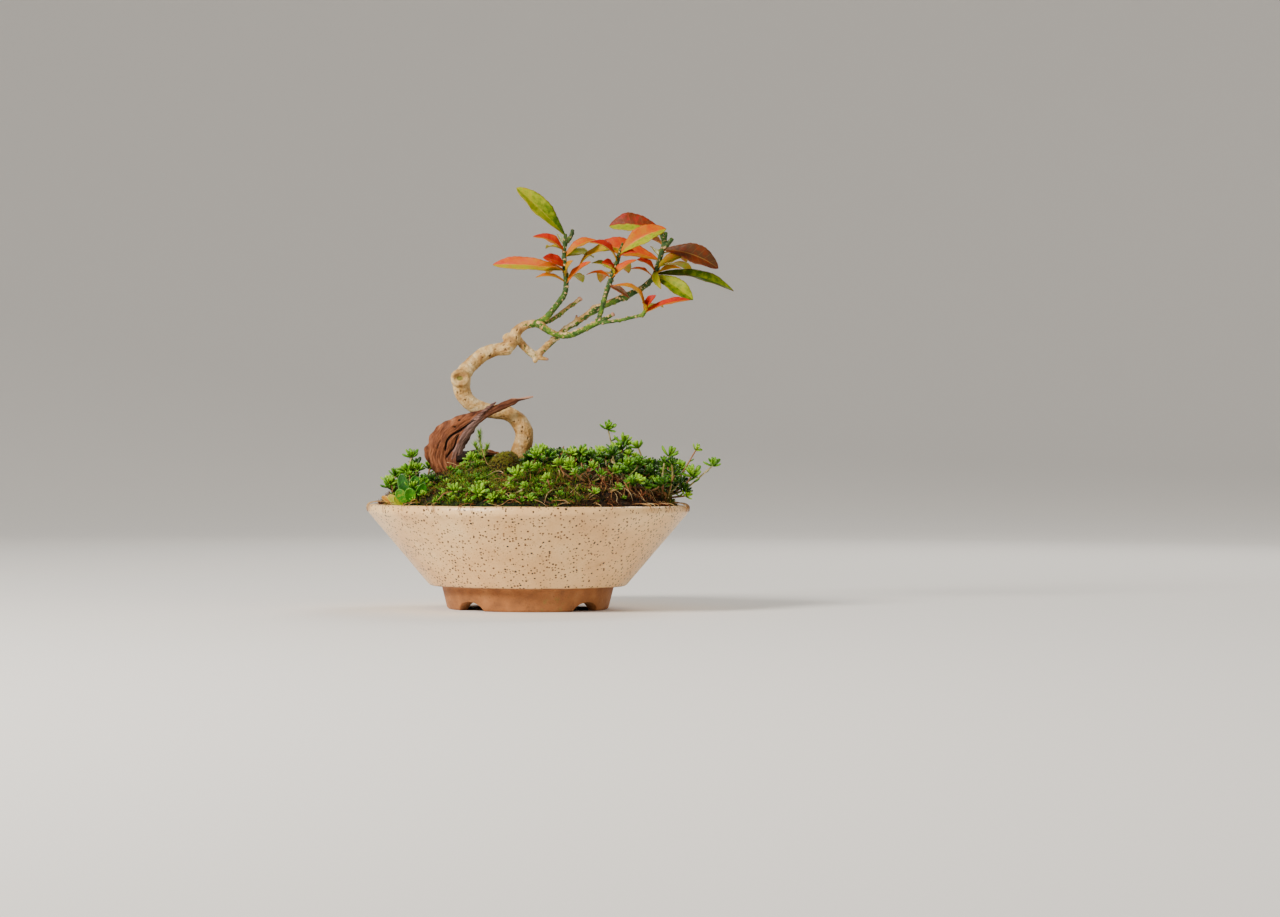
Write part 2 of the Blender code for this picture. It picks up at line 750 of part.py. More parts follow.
def rooted(place):
    """Route of a plant's rooted foot, from inside the soil to just above the moss."""
    low = soil_top(place.x, place.y) - ROOT_DEPTH
    high = moss_top(place.x, place.y) + ROOT_SHOWS
    return [(place.x, place.y, low, ROOT_RADIUS), (place.x, place.y, high, ROOT_RADIUS)]


def root_hole(name, place, collection, cutters):
    low, high = rooted(place)
    points = [(*low[:2], low[2] - CLEARANCE, low[3]), (*high[:2], high[2] + 6.0, high[3])]
    hole = tube(name + "_hole", points, collection, steps=1, sides=4, grow=HOLE_MARGIN)
    return as_cutter(hole, cutters)


def leaf_fan(centre, turn, leaves, length, width, rises):
    """The outline of a head of fat leaves: valley, shoulder, tip and shoulder for each leaf."""
    edge = []
    for k in range(leaves):
        angle = turn + math.tau * k / leaves
        rise = math.radians(rises[k % len(rises)])
        out = Vector((math.cos(angle), math.sin(angle), 0.0))
        side = Vector((-math.sin(angle), math.cos(angle), 0.0))
        along = out * math.cos(rise) + Vector((0.0, 0.0, math.sin(rise)))
        reach = 0.62 * length
        half = min(width / 2, 0.85 * reach * math.cos(rise) * math.tan(math.pi / leaves))
        valley_angle = angle - math.pi / leaves
        valley = Vector((math.cos(valley_angle), math.sin(valley_angle), 0.0))
        edge.append(centre + valley * 0.19 * length)
        edge.append(centre + along * reach - side * half)
        edge.append(centre + along * length)
        edge.append(centre + along * reach + side * half)
    return edge


def headed_stem(name, route, head, collection):
    """A stem and the head of leaves that it opens into, as one closed body. The head is its turn, the
    number of leaves, their length, width and rises."""
    turn, leaves, length, width, rises = head
    shape = bmesh.new()
    rings = []
    for i, (x, y, z, radius) in enumerate(route):
        before = Vector(route[max(i - 1, 0)][:3])
        after = Vector(route[min(i + 1, len(route) - 1)][:3])
        way = (after - before).normalized() if i < len(route) - 1 else Vector((0.0, 0.0, 1.0))
        valley_angle = turn - math.pi / leaves
        across = Vector((math.cos(valley_angle), math.sin(valley_angle), 0.0))
        across = (across - way * across.dot(way)).normalized()
        beside = way.cross(across)
        ring = []
        for k in range(STEM_SIDES):
            angle = math.tau * k / STEM_SIDES
            offset = (across * math.cos(angle) + beside * math.sin(angle)) * radius
            ring.append(shape.verts.new((Vector((x, y, z)) + offset) * MM))
        rings.append(ring)
    shape.faces.new(rings[0])
    for low, high in zip(rings, rings[1:]):
        stitched(shape, low, high)
    centre = Vector(route[-1][:3]) + Vector((0.0, 0.0, 0.2 * length))
    edge = [shape.verts.new(p * MM) for p in leaf_fan(centre, turn, leaves, length, width, rises)]
    stitched(shape, rings[-1], edge)
    middle = shape.verts.new((centre + Vector((0.0, 0.0, 0.17 * length))) * MM)
    for k, vert in enumerate(edge):
        shape.faces.new((middle, vert, edge[(k + 1) % len(edge)]))
    return object_from(name, mesh_from(name, shape), collection)


def sprig_route(foot, head):
    """A stem that leaves the rooted foot, arches clear of the moss and turns up to its head."""
    way = head - foot
    bend = foot + Vector((way.x * 0.7, way.y * 0.7, 0.0))
    bend.z = max(moss_top(bend.x, bend.y) + 3.0, foot.z + way.z * 0.42)
    stem = SEDUM_STEM_RADIUS
    return [(*foot, stem * 1.3), (*bend, stem * 1.1), (*head, stem)]


def make_sedum(name, plan, draw, collection, finish):
    """One plant of stonecrop: a rooted foot, and stems that branch from it to their heads."""
    x, y, heads, spread, height = plan
    foot_route = rooted(Vector((x, y)))
    body = tube(name, foot_route, collection, steps=1, sides=4)
    foot = Vector(foot_route[1][:3]) - Vector((0.0, 0.0, ROOT_JOINT))
    start = draw.uniform(0.0, math.tau)
    tops = []
    for k in range(heads):
        angle = start + math.tau * k / heads + draw.uniform(-0.25, 0.25)
        reach = spread * draw.uniform(0.85, 1.1)
        px = x + reach * math.cos(angle)
        py = y + reach * math.sin(angle)
        beyond = max(math.hypot(px, py) / (SOIL_RADIUS - 1.0), 1.0)
        px /= beyond
        py /= beyond
        tops.append(Vector((px, py, moss_top(px, py) + height * draw.uniform(0.6, 1.0))))
    if name in LONG_SPRIGS:
        tops.append(Vector(LONG_SPRIGS[name]))
    pieces = []
    for top in tops:
        turn = math.atan2(top.y - foot.y, top.x - foot.x) + draw.uniform(1.0, 2.1)
        length = SEDUM_LEAF * draw.uniform(0.9, 1.15)
        head = (turn, SEDUM_LEAVES, length, SEDUM_LEAF_WIDTH, SEDUM_RISES)
        pieces.append(headed_stem(name + "_sprig", sprig_route(foot, top), head, collection))
    return joined(name, body, pieces, finish)


def make_spoon_plant(collection, finish):
    """The plant with round spoon-shaped leaves by the rim: two tiers of leaves on one foot."""
    foot_route = rooted(SPOON_PLANT_AT)
    body = tube("spoon_plant", foot_route, collection, steps=1, sides=4)
    crown = Vector(foot_route[1][:3])
    tiers = []
    for name, lift, leaves, length, rises in SPOON_TIERS:
        low = crown - Vector((0.0, 0.0, SPOON_SUNK))
        high = crown + Vector((0.0, 0.0, lift))
        head = (lift, leaves, length, SPOON_WIDTH, rises)
        tiers.append(headed_stem(name, [(*low, 0.9), (*high, 1.1)], head, collection))
    return joined("spoon_plant", body, tiers, finish)


def make_fine_sprig(collection, finish):
    """The thin upright sprig with needle leaves, beside the bark."""
    foot_route = rooted(FINE_SPRIG_AT)
    body = tube("fine_sprig", foot_route, collection, steps=1, sides=4)
    foot = Vector(foot_route[1][:3]) - Vector((0.0, 0.0, ROOT_JOINT))
    middle = foot.lerp(FINE_SPRIG_TOP, 0.5) + Vector((FINE_STEM_BOW, 0.0, 0.0))
    stem = [(*place, radius) for place, radius in zip((foot, middle, FINE_SPRIG_TOP), FINE_STEM_RADII)]
    pieces = [tube("fine_stem", stem, collection, steps=1, sides=4)]
    for k in range(FINE_NEEDLES):
        share = 0.3 + 0.66 * k / FINE_NEEDLES
        base = stem_at(stem, foot.z + (FINE_SPRIG_TOP.z - foot.z) * share)
        direction = Vector((math.cos(NEEDLE_TURN * k), math.sin(NEEDLE_TURN * k), 0.9)).normalized()
        length = NEEDLE_LENGTHS[0] + (NEEDLE_LENGTHS[1] - NEEDLE_LENGTHS[0]) * share
        shape = bmesh.new()
        bmesh.ops.create_cone(
            shape,
            cap_ends=True,
            cap_tris=True,
            segments=3,
            radius1=NEEDLE_RADII[0],
            radius2=NEEDLE_RADII[1],
            depth=length,
        )
        turn = direction.to_track_quat("Z", "X").to_matrix().to_4x4()
        place = Matrix.Translation(base + direction * (length / 2 - 0.2))
        bmesh.ops.transform(shape, matrix=Matrix.Scale(MM, 4) @ place @ turn, verts=shape.verts)
        pieces.append(object_from("needle", mesh_from("needle", shape), collection))
    return joined("fine_sprig", body, pieces, finish)


def make_cushion(collection, finish):
    """Round cushion of moss on the soil, in front of the trunk."""

    def top(x, y):
        """Height of the cushion's dome, with a few low bumps."""
        share = min((Vector((x, y)) - CUSHION_AT).length / CUSHION_RADIUS, 1.0)
        dome = math.sqrt(max(1.0 - 0.96 * share**2, 0.0))
        bumps = 0.5 * math.sin(1.6 * x) * math.cos(1.5 * y) * (1.0 - share)
        return soil_top(x, y) + CLEARANCE + CUSHION_EDGE + CUSHION_HEIGHT * dome + bumps

    def bottom(x, y):
        """Height of its underside, just clear of the soil."""
        return soil_top(x, y) + 2 * CLEARANCE

    dome = [(CUSHION_RADIUS * share, count) for share, count in CUSHION_RINGS]
    flat = [dome[-1]]
    return pad("moss_cushion", CUSHION_AT, dome, flat, top, bottom, collection, finish)


def make_ground(collection, cutters, soil_finish, moss_finish, holes):
    """Soil and moss, with a plain hole where each rooted thing stands."""
    middle = Vector((0.0, 0.0))
    around = TURNED_SEGMENTS // 2
    shared = [(24.0, 6), (48.0, 12), (72.0, around), (SOIL_RADIUS, around)]
    wall = [(19.0, 11), (20.5, 11), (49.4, around), (61.4, around), (SOIL_RADIUS, around)]
    soil = pad("soil", middle, shared, wall, soil_top, soil_bottom, collection, soil_finish)
    tufts = [(SOIL_RADIUS * ring / MOSS_RINGS, 6 * ring) for ring in range(1, MOSS_RINGS + 1)]

    def under_moss(x, y):
        """Height of the moss's underside, just clear of the soil."""
        return soil_top(x, y) + CLEARANCE

    moss = pad("moss", middle, tufts, shared, moss_top, under_moss, collection, moss_finish)
    bpy.ops.mesh.primitive_cylinder_add(
        vertices=16,
        radius=(CUSHION_RADIUS + CUSHION_SEAT_MARGIN) * MM,
        depth=CUSHION_SEAT_DEPTH * MM,
    )
    seat = bpy.context.object
    seat.name = "cushion_seat"
    seat.location = Vector((CUSHION_AT.x, CUSHION_AT.y, CUSHION_SEAT_Z)) * MM
    cut(moss, as_cutter(seat, cutters))
    for hole in holes:
        cut(soil, hole)
        cut(moss, hole)
    return applied(soil), applied(moss)


def make_bark(collection, cutters, finish):
    """The slab and its spur in one body; returns the cutter for its seat in the ground."""
    slab = bark_body("bark", collection)
    spur = tube("bark_spur", BARK_SPUR, collection, steps=2, sides=6)
    joined("bark", slab, [spur], finish)
    return as_cutter(bark_body("bark_seat", collection, grow=HOLE_MARGIN), cutters)


def main():
    clear_scene()
    scene = bpy.context.scene.collection
    bonsai = bpy.data.collections.new("bonsai")
    cutters = bpy.data.collections.new("cutters")
    scene.children.link(bonsai)
    scene.children.link(cutters)

    glaze = material("speckled_glaze", (0.68, 0.49, 0.30), 0.42)
    plastic = material("screen_plastic", (0.05, 0.05, 0.05), 0.6)
    earth = material("soil", (0.07, 0.045, 0.03), 0.95)
    moss_green = material("moss", (0.12, 0.16, 0.04), 0.9)
    cushion_green = material("cushion_moss", (0.13, 0.12, 0.03), 0.95)
    wood = material("pale_bark", (0.48, 0.34, 0.18), 0.7)
    leaf = material("leaf", (0.42, 0.24, 0.07), 0.4)
    dead_wood = material("weathered_bark", (0.24, 0.09, 0.04), 0.85)
    sedum_green = material("stonecrop", (0.16, 0.32, 0.05), 0.45)
    spoon_green = material("spoon_leaf", (0.12, 0.36, 0.04), 0.4)

    make_pot(bonsai, cutters, glaze)
    make_screen(bonsai, plastic)

    holes = [make_bark(bonsai, cutters, dead_wood)]
    x, y, z, radius = TRUNK[0]
    buried = [(x, y, z - CLEARANCE, radius), *TRUNK[1:6]]
    trunk_hole = tube("trunk_hole", buried, bonsai, steps=2, sides=10, grow=HOLE_MARGIN)
    holes.append(as_cutter(trunk_hole, cutters))
    rooted_at = {name: Vector(plan[:2]) for name, plan in SEDUM_CLUMPS.items()}
    rooted_at["spoon_plant"] = SPOON_PLANT_AT
    rooted_at["fine_sprig"] = FINE_SPRIG_AT
    for name, place in rooted_at.items():
        holes.append(root_hole(name, place, bonsai, cutters))
    make_ground(bonsai, cutters, earth, moss_green, holes)
    make_cushion(bonsai, cushion_green)

    make_trunk(bonsai, wood)
    for name, plan in SPRAYS.items():
        make_spray(name, plan, bonsai, leaf)
    draw = random.Random(7)
    for name, plan in SEDUM_CLUMPS.items():
        make_sedum(name, plan, draw, bonsai, sedum_green)
    make_spoon_plant(bonsai, spoon_green)
    make_fine_sprig(bonsai, sedum_green)

    stand = bpy.data.objects.new("stand", None)
    scene.objects.link(stand)
    stand.location = POT_AXIS
    for obj in bonsai.objects:
        obj.parent = stand


main()
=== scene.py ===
# %% [markdown]
# # A small bonsai in a footed bowl
#
# The tree is a pale trunk bent in an S, with four leafy shoots, in a speckled bowl. Round its foot grow
# moss and stonecrop, and a slab of weathered bark leans in front. Each lesson below takes one of these
# things: what it is on the real tree, how it could be made, and why it is made in this way.
#
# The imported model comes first, because it says how big everything is and where it stands.

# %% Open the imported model
import math
import random

import bmesh
import bpy
import numpy as np
from mathutils import Matrix, Vector, kdtree, noise


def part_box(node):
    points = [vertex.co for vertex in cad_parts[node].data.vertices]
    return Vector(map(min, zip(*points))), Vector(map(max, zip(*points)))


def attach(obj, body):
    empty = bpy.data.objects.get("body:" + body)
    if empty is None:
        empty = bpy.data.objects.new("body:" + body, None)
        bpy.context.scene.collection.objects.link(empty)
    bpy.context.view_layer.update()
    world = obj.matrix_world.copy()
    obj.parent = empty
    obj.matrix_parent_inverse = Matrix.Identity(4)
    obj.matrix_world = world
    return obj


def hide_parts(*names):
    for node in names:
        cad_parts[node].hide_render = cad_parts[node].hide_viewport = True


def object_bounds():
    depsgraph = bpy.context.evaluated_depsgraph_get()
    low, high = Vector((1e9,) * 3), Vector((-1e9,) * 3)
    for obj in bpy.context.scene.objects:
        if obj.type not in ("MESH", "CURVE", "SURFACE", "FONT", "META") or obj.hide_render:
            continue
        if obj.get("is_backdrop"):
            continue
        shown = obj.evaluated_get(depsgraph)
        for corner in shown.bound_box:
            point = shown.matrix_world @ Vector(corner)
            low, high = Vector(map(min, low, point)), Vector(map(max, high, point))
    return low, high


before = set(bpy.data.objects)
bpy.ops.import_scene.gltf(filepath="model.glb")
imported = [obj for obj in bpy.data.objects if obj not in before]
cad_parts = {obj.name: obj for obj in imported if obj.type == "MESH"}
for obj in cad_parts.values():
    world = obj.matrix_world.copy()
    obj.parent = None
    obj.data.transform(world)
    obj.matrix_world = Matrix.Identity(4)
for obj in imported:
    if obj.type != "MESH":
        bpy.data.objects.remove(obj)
packed_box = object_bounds()
MM = 0.001
pot_low, pot_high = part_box("pot")
AXIS = np.array([(pot_low.x + pot_high.x) / 2, (pot_low.y + pot_high.y) / 2, 0.0])
UP = Vector((0.0, 0.0, 1.0))
print("nodes:", len(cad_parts), "pot axis at", AXIS.round(4))


def placed(name, data):
    """A new object in the scene."""
    obj = bpy.data.objects.new(name, data)
    bpy.context.scene.collection.objects.link(obj)
    return obj


# %% [markdown]
# ## Camera
#
# The view is level and a long way off, so the pot looks almost flat and its rim is a thin line. A camera
# could be aimed by eye, but a level view has simple geometry: the height of the lens is the height of
# the things that stay on the horizon. So the lens is placed by its distance and height in millimetres.

# %% Camera
LENS_PLACE = (69.8, -1895.0, 93.4)
LENS_LENGTH = 85.0
LENS_TILT = 0.03
LENS_ROLL = 0.3
camera_data = bpy.data.cameras.new("camera")
camera_data.lens = LENS_LENGTH
camera_data.sensor_width = 36.0
camera_data.clip_start = 0.05
camera = placed("camera", camera_data)
camera.matrix_world = (
    Matrix.Translation(Vector(LENS_PLACE) * MM + Vector(AXIS))
    @ Matrix.Rotation(math.radians(90 + LENS_TILT), 4, "X")
    @ Matrix.Rotation(math.radians(LENS_ROLL), 4, "Z")
)
bpy.context.scene.camera = camera

# %% [markdown]
# ## Floor and light
#
# A studio sweep is a sheet that curves up from floor to wall, so there is no corner behind the object.
# Here it is turned round the whole set, because the tree is looked at from every side. One large soft
# light stands at the front left, as the bright left side of the pot asks, and a weak one fills the right.

# %% Floor and light
FLOOR_RADIUS = 4.4
SWEEP_RADIUS = 2.6
SWEEP_HEIGHT = 3.2
SWEEP_STEPS = 24
SWEEP_SEGMENTS = 96
LIT_PLACE = (0.0, 0.0, 0.12)


def colour(red, green, blue):
    """The linear colour that a shader takes, from the 0 to 255 values that a picture shows."""
    parts = [value / 255 for value in (red, green, blue)]
    return (*[p / 12.92 if p <= 0.04045 else ((p + 0.055) / 1.055) ** 2.4 for p in parts], 1.0)


profile = [(0.0, 0.0)]
for step in range(SWEEP_STEPS + 1):
    turn = math.pi / 2 * step / SWEEP_STEPS
    across = FLOOR_RADIUS - SWEEP_RADIUS + SWEEP_RADIUS * math.sin(turn)
    profile.append((across, SWEEP_RADIUS * (1 - math.cos(turn))))
profile.append((FLOOR_RADIUS, SWEEP_HEIGHT))
floor_mesh = bpy.data.meshes.new("floor")
floor_mesh.from_pydata([(r, 0.0, z) for r, z in profile], [(k, k + 1) for k in range(len(profile) - 1)], [])
floor = placed("floor", floor_mesh)
sweep = floor.modifiers.new("sweep", "SCREW")
sweep.steps = SWEEP_SEGMENTS
sweep.render_steps = SWEEP_SEGMENTS
sweep.use_merge_vertices = True
sweep.merge_threshold = 0.0001
paper = bpy.data.materials.new("studio paper")
paper.use_nodes = True
paper_shader = paper.node_tree.nodes["Principled BSDF"]
paper_shader.inputs["Base Color"].default_value = colour(236, 233, 228)
paper_shader.inputs["Roughness"].default_value = 0.9
paper_shader.inputs["Specular IOR Level"].default_value = 0.1
floor_mesh.materials.append(paper)
floor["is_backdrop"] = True

world = bpy.data.worlds.new("studio")
bpy.context.scene.world = world
world.use_nodes = True
world.node_tree.nodes["Background"].inputs["Color"].default_value = (1.0, 0.98, 0.95, 1.0)
world.node_tree.nodes["Background"].inputs["Strength"].default_value = 0.4


def soft_light(name, place, size, power, tint):
    """A square soft box that faces the middle of the tree."""
    lamp = bpy.data.lights.new(name, "AREA")
    lamp.size = size
    lamp.energy = power
    lamp.color = tint
    obj = placed(name, lamp)
    obj.location = place
    obj.rotation_mode = "QUATERNION"
    obj.rotation_quaternion = (Vector(place) - Vector(LIT_PLACE)).to_track_quat("Z", "Y")


soft_light("key", (-1.15, -1.2, 1.05), 0.55, 58.0, (1.0, 0.95, 0.88))
soft_light("fill", (1.5, -0.9, 0.8), 1.0, 3.5, (1.0, 0.96, 0.9))
soft_light("back", (0.6, 1.3, 1.3), 0.8, 16.0, (1.0, 0.97, 0.92))

# %% [markdown]
# ## Finishes as short recipes
#
# Each surface needs a material made of nodes. Wiring nodes one at a time hides the idea of a finish, so a
# small class gives each common step a word: noise for blotches, cells for specks, a ramp for colours.
# Sizes are given in millimetres, the way one would measure a speck with a ruler.

# %% Finishes as short recipes


class Finish:
    """A Principled material and short ways to add nodes to it. Sizes are in millimetres."""

    def __init__(self, name, roughness, **sockets):
        self.material = bpy.data.materials.new(name)
        self.material.use_nodes = True
        self.tree = self.material.node_tree
        self.shader = self.tree.nodes["Principled BSDF"]
        self.shader.inputs["Roughness"].default_value = roughness
        for socket, value in sockets.items():
            self.shader.inputs[socket.replace("_", " ")].default_value = value
        self.place = self.node("ShaderNodeTexCoord").outputs["Object"]

    def node(self, kind, **settings):
        made = self.tree.nodes.new(kind)
        for key, value in settings.items():
            setattr(made, key, value)
        return made

    def join(self, value, socket):
        """Links an output to a socket, or sets the socket to a number or to a colour of 0 to 255."""
        if isinstance(value, bpy.types.NodeSocket):
            self.tree.links.new(value, socket)
        else:
            socket.default_value = colour(*value) if isinstance(value, tuple) else value

    def maths(self, operation, *values):
        made = self.node("ShaderNodeMath", operation=operation)
        for value, socket in zip(values, made.inputs):
            self.join(value, socket)
        return made.outputs[0]

    def plus(self, *values):
        return self.maths("ADD", *values)

    def minus(self, *values):
        return self.maths("SUBTRACT", *values)

    def times(self, *values):
        return self.maths("MULTIPLY", *values)

    def size(self, value):
        """A number without its sign."""
        return self.maths("ABSOLUTE", value)

    def noise(self, size, detail=3.0, place=None, rough=0.55):
        made = self.node("ShaderNodeTexNoise")
        made.inputs["Scale"].default_value = 1 / (size * MM)
        made.inputs["Detail"].default_value = detail
        made.inputs["Roughness"].default_value = rough
        self.join(place or self.place, made.inputs["Vector"])
        return made.outputs[0]

    def waver(self, size, detail, low, high):
        """Soft blotches of a size, from a low to a high value."""
        return self.range(self.noise(size, detail), 0.3, 0.7, low, high)

    def cells(self, size, place):
        made = self.node("ShaderNodeTexVoronoi", feature="F1")
        made.inputs["Scale"].default_value = 1 / (size * MM)
        self.join(place, made.inputs["Vector"])
        return made

    def split(self, shade):
        """The three parts of a colour, as random numbers of their own."""
        made = self.node("ShaderNodeSeparateColor")
        self.join(shade, made.inputs[0])
        return made.outputs

    def shifted(self, size, amount):
        """Places pushed about by a noise, so that round cells lose their perfect outline."""
        made = self.node("ShaderNodeTexNoise")
        made.inputs["Scale"].default_value = 1 / (size * MM)
        self.join(self.place, made.inputs["Vector"])
        push = self.node("ShaderNodeVectorMath", operation="SCALE")
        self.join(made.outputs["Color"], push.inputs[0])
        push.inputs["Scale"].default_value = amount * MM
        both = self.node("ShaderNodeVectorMath", operation="ADD")
        self.join(self.place, both.inputs[0])
        self.join(push.outputs[0], both.inputs[1])
        return both.outputs[0]

    def carried(self, name):
        """A value that the mesh carries on its points."""
        return self.node("ShaderNodeAttribute", attribute_name=name).outputs["Fac"]

    def sides(self):
        """The places apart, as X, Y and Z."""
        made = self.node("ShaderNodeSeparateXYZ")
        self.join(self.place, made.inputs[0])
        return made.outputs

    def along(self, across, length, squeeze):
        """Places that follow a piece's own length, from two values that it carries in millimetres."""
        made = self.node("ShaderNodeCombineXYZ")
        self.join(self.times(self.carried(across), MM), made.inputs[0])
        self.join(self.times(self.carried(length), MM * squeeze), made.inputs[1])
        return made.outputs[0]

    def range(self, value, low, high, to_low=0.0, to_high=1.0):
        made = self.node("ShaderNodeMapRange", interpolation_type="SMOOTHSTEP")
        for number, socket in zip((value, low, high, to_low, to_high), made.inputs):
            self.join(number, socket)
        return made.outputs[0]

    def ramp(self, value, stops):
        made = self.node("ShaderNodeValToRGB")
        self.join(value, made.inputs[0])
        points = made.color_ramp.elements
        while len(points) < len(stops):
            points.new(0.5)
        for point, (position, shade) in zip(points, stops):
            point.position = position
            point.color = colour(*shade)
        return made.outputs[0]

    def mix(self, share, first, second):
        made = self.node("ShaderNodeMix", data_type="RGBA")
        for value, socket in zip((share, first, second), (made.inputs[0], made.inputs[6], made.inputs[7])):
            self.join(value, socket)
        return made.outputs[2]

    def bump(self, value, depth, below=None):
        made = self.node("ShaderNodeBump")
        made.inputs["Distance"].default_value = depth * MM
        self.join(value, made.inputs["Height"])
        if below:
            self.join(below, made.inputs["Normal"])
        return made.outputs[0]

    def done(self, base=None, roughness=None, normal=None):
        for value, socket in ((base, "Base Color"), (roughness, "Roughness"), (normal, "Normal")):
            if value is not None:
                self.join(value, self.shader.inputs[socket])
        return self.material


def glow(share, depth):
    """Settings that let light pass a little way into a leaf."""
    return {"Subsurface_Weight": share, "Subsurface_Scale": depth}


# %% [markdown]
# ## Many small shapes in one mesh
#
# Moss has thousands of blades and stonecrop thousands of leaves. Objects for each would be slow, and
# copies made while rendering are lost when the model is exported. So every kind of leaf is one small
# shape, and numpy places all its copies at once in the lists of a single mesh. Most shapes are grids of
# points or closed mounds, so one function each lists their faces.

# %% Many small shapes in one mesh


class Heap:
    """Shapes gathered for one mesh, with the values that their points carry."""

    def __init__(self, *names):
        self.points = []
        self.faces = []
        self.values = {name: [] for name in names}
        self.count = 0

    def add(self, points, faces, **values):
        """Takes copies of a shape: points is copies by points by 3, and faces are those of one copy."""
        points = np.asarray(points, float)
        if points.ndim == 2:
            points = points[None]
        copies, each = points.shape[:2]
        self.points.append(points.reshape(-1, 3))
        starts = self.count + each * np.arange(copies)[:, None, None]
        groups = {}
        for face in faces:
            groups.setdefault(len(face), []).append(face)
        for size, group in groups.items():
            self.faces.extend((np.array(group)[None] + starts).reshape(-1, size).tolist())
        for name, gathered in self.values.items():
            value = np.asarray(values.get(name, 0.0), float)
            if value.ndim == 1 and len(value) == copies:
                value = value[:, None]
            gathered.append(np.broadcast_to(value, (copies, each)).reshape(-1))
        self.count += copies * each

    def mesh(self, name):
        made = bpy.data.meshes.new(name)
        places = np.concatenate(self.points) * MM + AXIS
        made.from_pydata(places.tolist(), [], self.faces)
        for key, gathered in self.values.items():
            carry(made, key, np.concatenate(gathered))
        made.shade_smooth()
        return made


def carry(mesh, name, values):
    """Stores one value a point, which a material then reads by its name."""
    mesh.attributes.new(name, "FLOAT", "POINT").data.foreach_set("value", np.asarray(values, np.float32))


def modified(mesh, *modifiers):
    """The mesh that modifiers make of a mesh. Each modifier is its kind and its settings."""
    obj = placed("work", mesh)
    for kind, settings in modifiers:
        made = obj.modifiers.new(kind.lower(), kind)
        for key, value in settings.items():
            setattr(made, key, value)
    bpy.context.view_layer.update()
    graph = bpy.context.evaluated_depsgraph_get()
    result = bpy.data.meshes.new_from_object(obj.evaluated_get(graph))
    bpy.data.objects.remove(obj)
    return result


def thickened(mesh, thickness):
    """The same sheet with a thickness, given in millimetres."""
    return modified(mesh, ("SOLIDIFY", {"thickness": thickness * MM, "offset": 0.0}))


def piece(name, mesh, material, slot, *nodes):
    """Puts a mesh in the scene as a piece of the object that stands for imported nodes."""
    obj = placed(name, mesh)
    mesh.materials.clear()
    mesh.materials.append(material)
    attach(obj, "root")
    if nodes:
        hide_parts(*nodes)
    print("%-20s %7d points %7d faces" % (name, len(mesh.vertices), len(mesh.polygons)))


def grid_faces(rows, columns, ring=False, loop=False):
    """Faces between rows of points. A row may close into a ring, and the rows into a loop."""
    made = []
    for r in range(rows if loop else rows - 1):
        low, high = r * columns, (r + 1) % rows * columns
        for k in range(columns if ring else columns - 1):
            n = (k + 1) % columns
            made.append((low + k, low + n, high + n, high + k))
    return made


def mound_faces(rings, around):
    """Faces of a closed mound: a point on top, rings from it to the underside, and a point below."""
    made = []
    last = 1 + (rings - 1) * around
    for k in range(around):
        n = (k + 1) % around
        made.append((0, 1 + k, 1 + n))
        for low in range(1, last, around):
            made.append((low + k, low + around + k, low + around + n, low + n))
        made.append((last + n, last + k, last + around))
    return made


def noise_at(places, scale=1.0):
    """The value of a soft random field at each place."""
    return np.array([noise.noise(Vector(place) * scale) for place in places])


def points_of(mesh):
    """The points and their normals as arrays in millimetres from the pot's axis."""
    places = np.empty(len(mesh.vertices) * 3)
    normals = np.empty(len(mesh.vertices) * 3)
    mesh.vertices.foreach_get("co", places)
    mesh.vertices.foreach_get("normal", normals)
    return (places.reshape(-1, 3) - AXIS) / MM, normals.reshape(-1, 3)


def move_points(mesh, places):
    mesh.vertices.foreach_set("co", (places * MM + AXIS).reshape(-1))
    mesh.update()


# %% [markdown]
# ## The bowl
#
# A thrown bowl is a section turned about an axis. Its section is drawn as a few corners, and each corner
# is rounded, because glaze pulls away from edges and leaves none of them sharp. The potter cut four
# arches in the foot ring, which are Boolean cuts here, with their new edges softened by a small bevel.

# %% The bowl's section
BOWL_SEGMENTS = 180
NOTCH_WIDTH = 21.0
NOTCH_HEIGHT = 6.2
NOTCH_DEPTH = 24.0
NOTCH_Z = -0.4
NOTCH_TURN = 2.5
FOOT_MIDDLE = 46.6
GLAZE_EDGE = 14.9
# Corners of the section, from the lip down the outside and up the inside: radius, height, rounding
SECTION = [
    (96.6, 65.3, 1.6), (99.6, 65, 1.8), (100.4, 60.6, 2.4), (97, 56.8, 4), (64.2, 17.9, 1.8),
    (61.4, 14.7, 1.4), (53.9, 14, 1), (50.6, 1, 1.2), (49.6, 0, 0.7), (43.6, 0, 0.8), (41.4, 9.2, 2),
    (7, 10.2, 0.5), (7, 16.6, 0.8), (49.8, 16.6, 5), (61.9, 22.1, 5), (93.5, 60, 2), (94.4, 65, 1.2),
]


def rounded(corners, steps=6):
    """A closed outline whose corners are each rounded off over their own length."""
    made = []
    for k, (radius, height, reach) in enumerate(corners):
        corner = Vector((radius, height))
        before = Vector(corners[k - 1][:2]) - corner
        after = Vector(corners[(k + 1) % len(corners)][:2]) - corner
        start = corner + before.normalized() * min(reach, before.length * 0.45)
        end = corner + after.normalized() * min(reach, after.length * 0.45)
        for step in range(steps + 1):
            t = step / steps
            made.append(start * (1 - t) ** 2 + corner * 2 * t * (1 - t) + end * t**2)
    return made


def split_long(outline, longest):
    """Extra points on the long straight runs, so that the surface can take a little unevenness."""
    made = []
    for start, end in zip(outline, outline[1:] + outline[:1]):
        parts = max(1, math.ceil((end - start).length / longest))
        made.extend(start.lerp(end, k / parts) for k in range(parts))
    return made


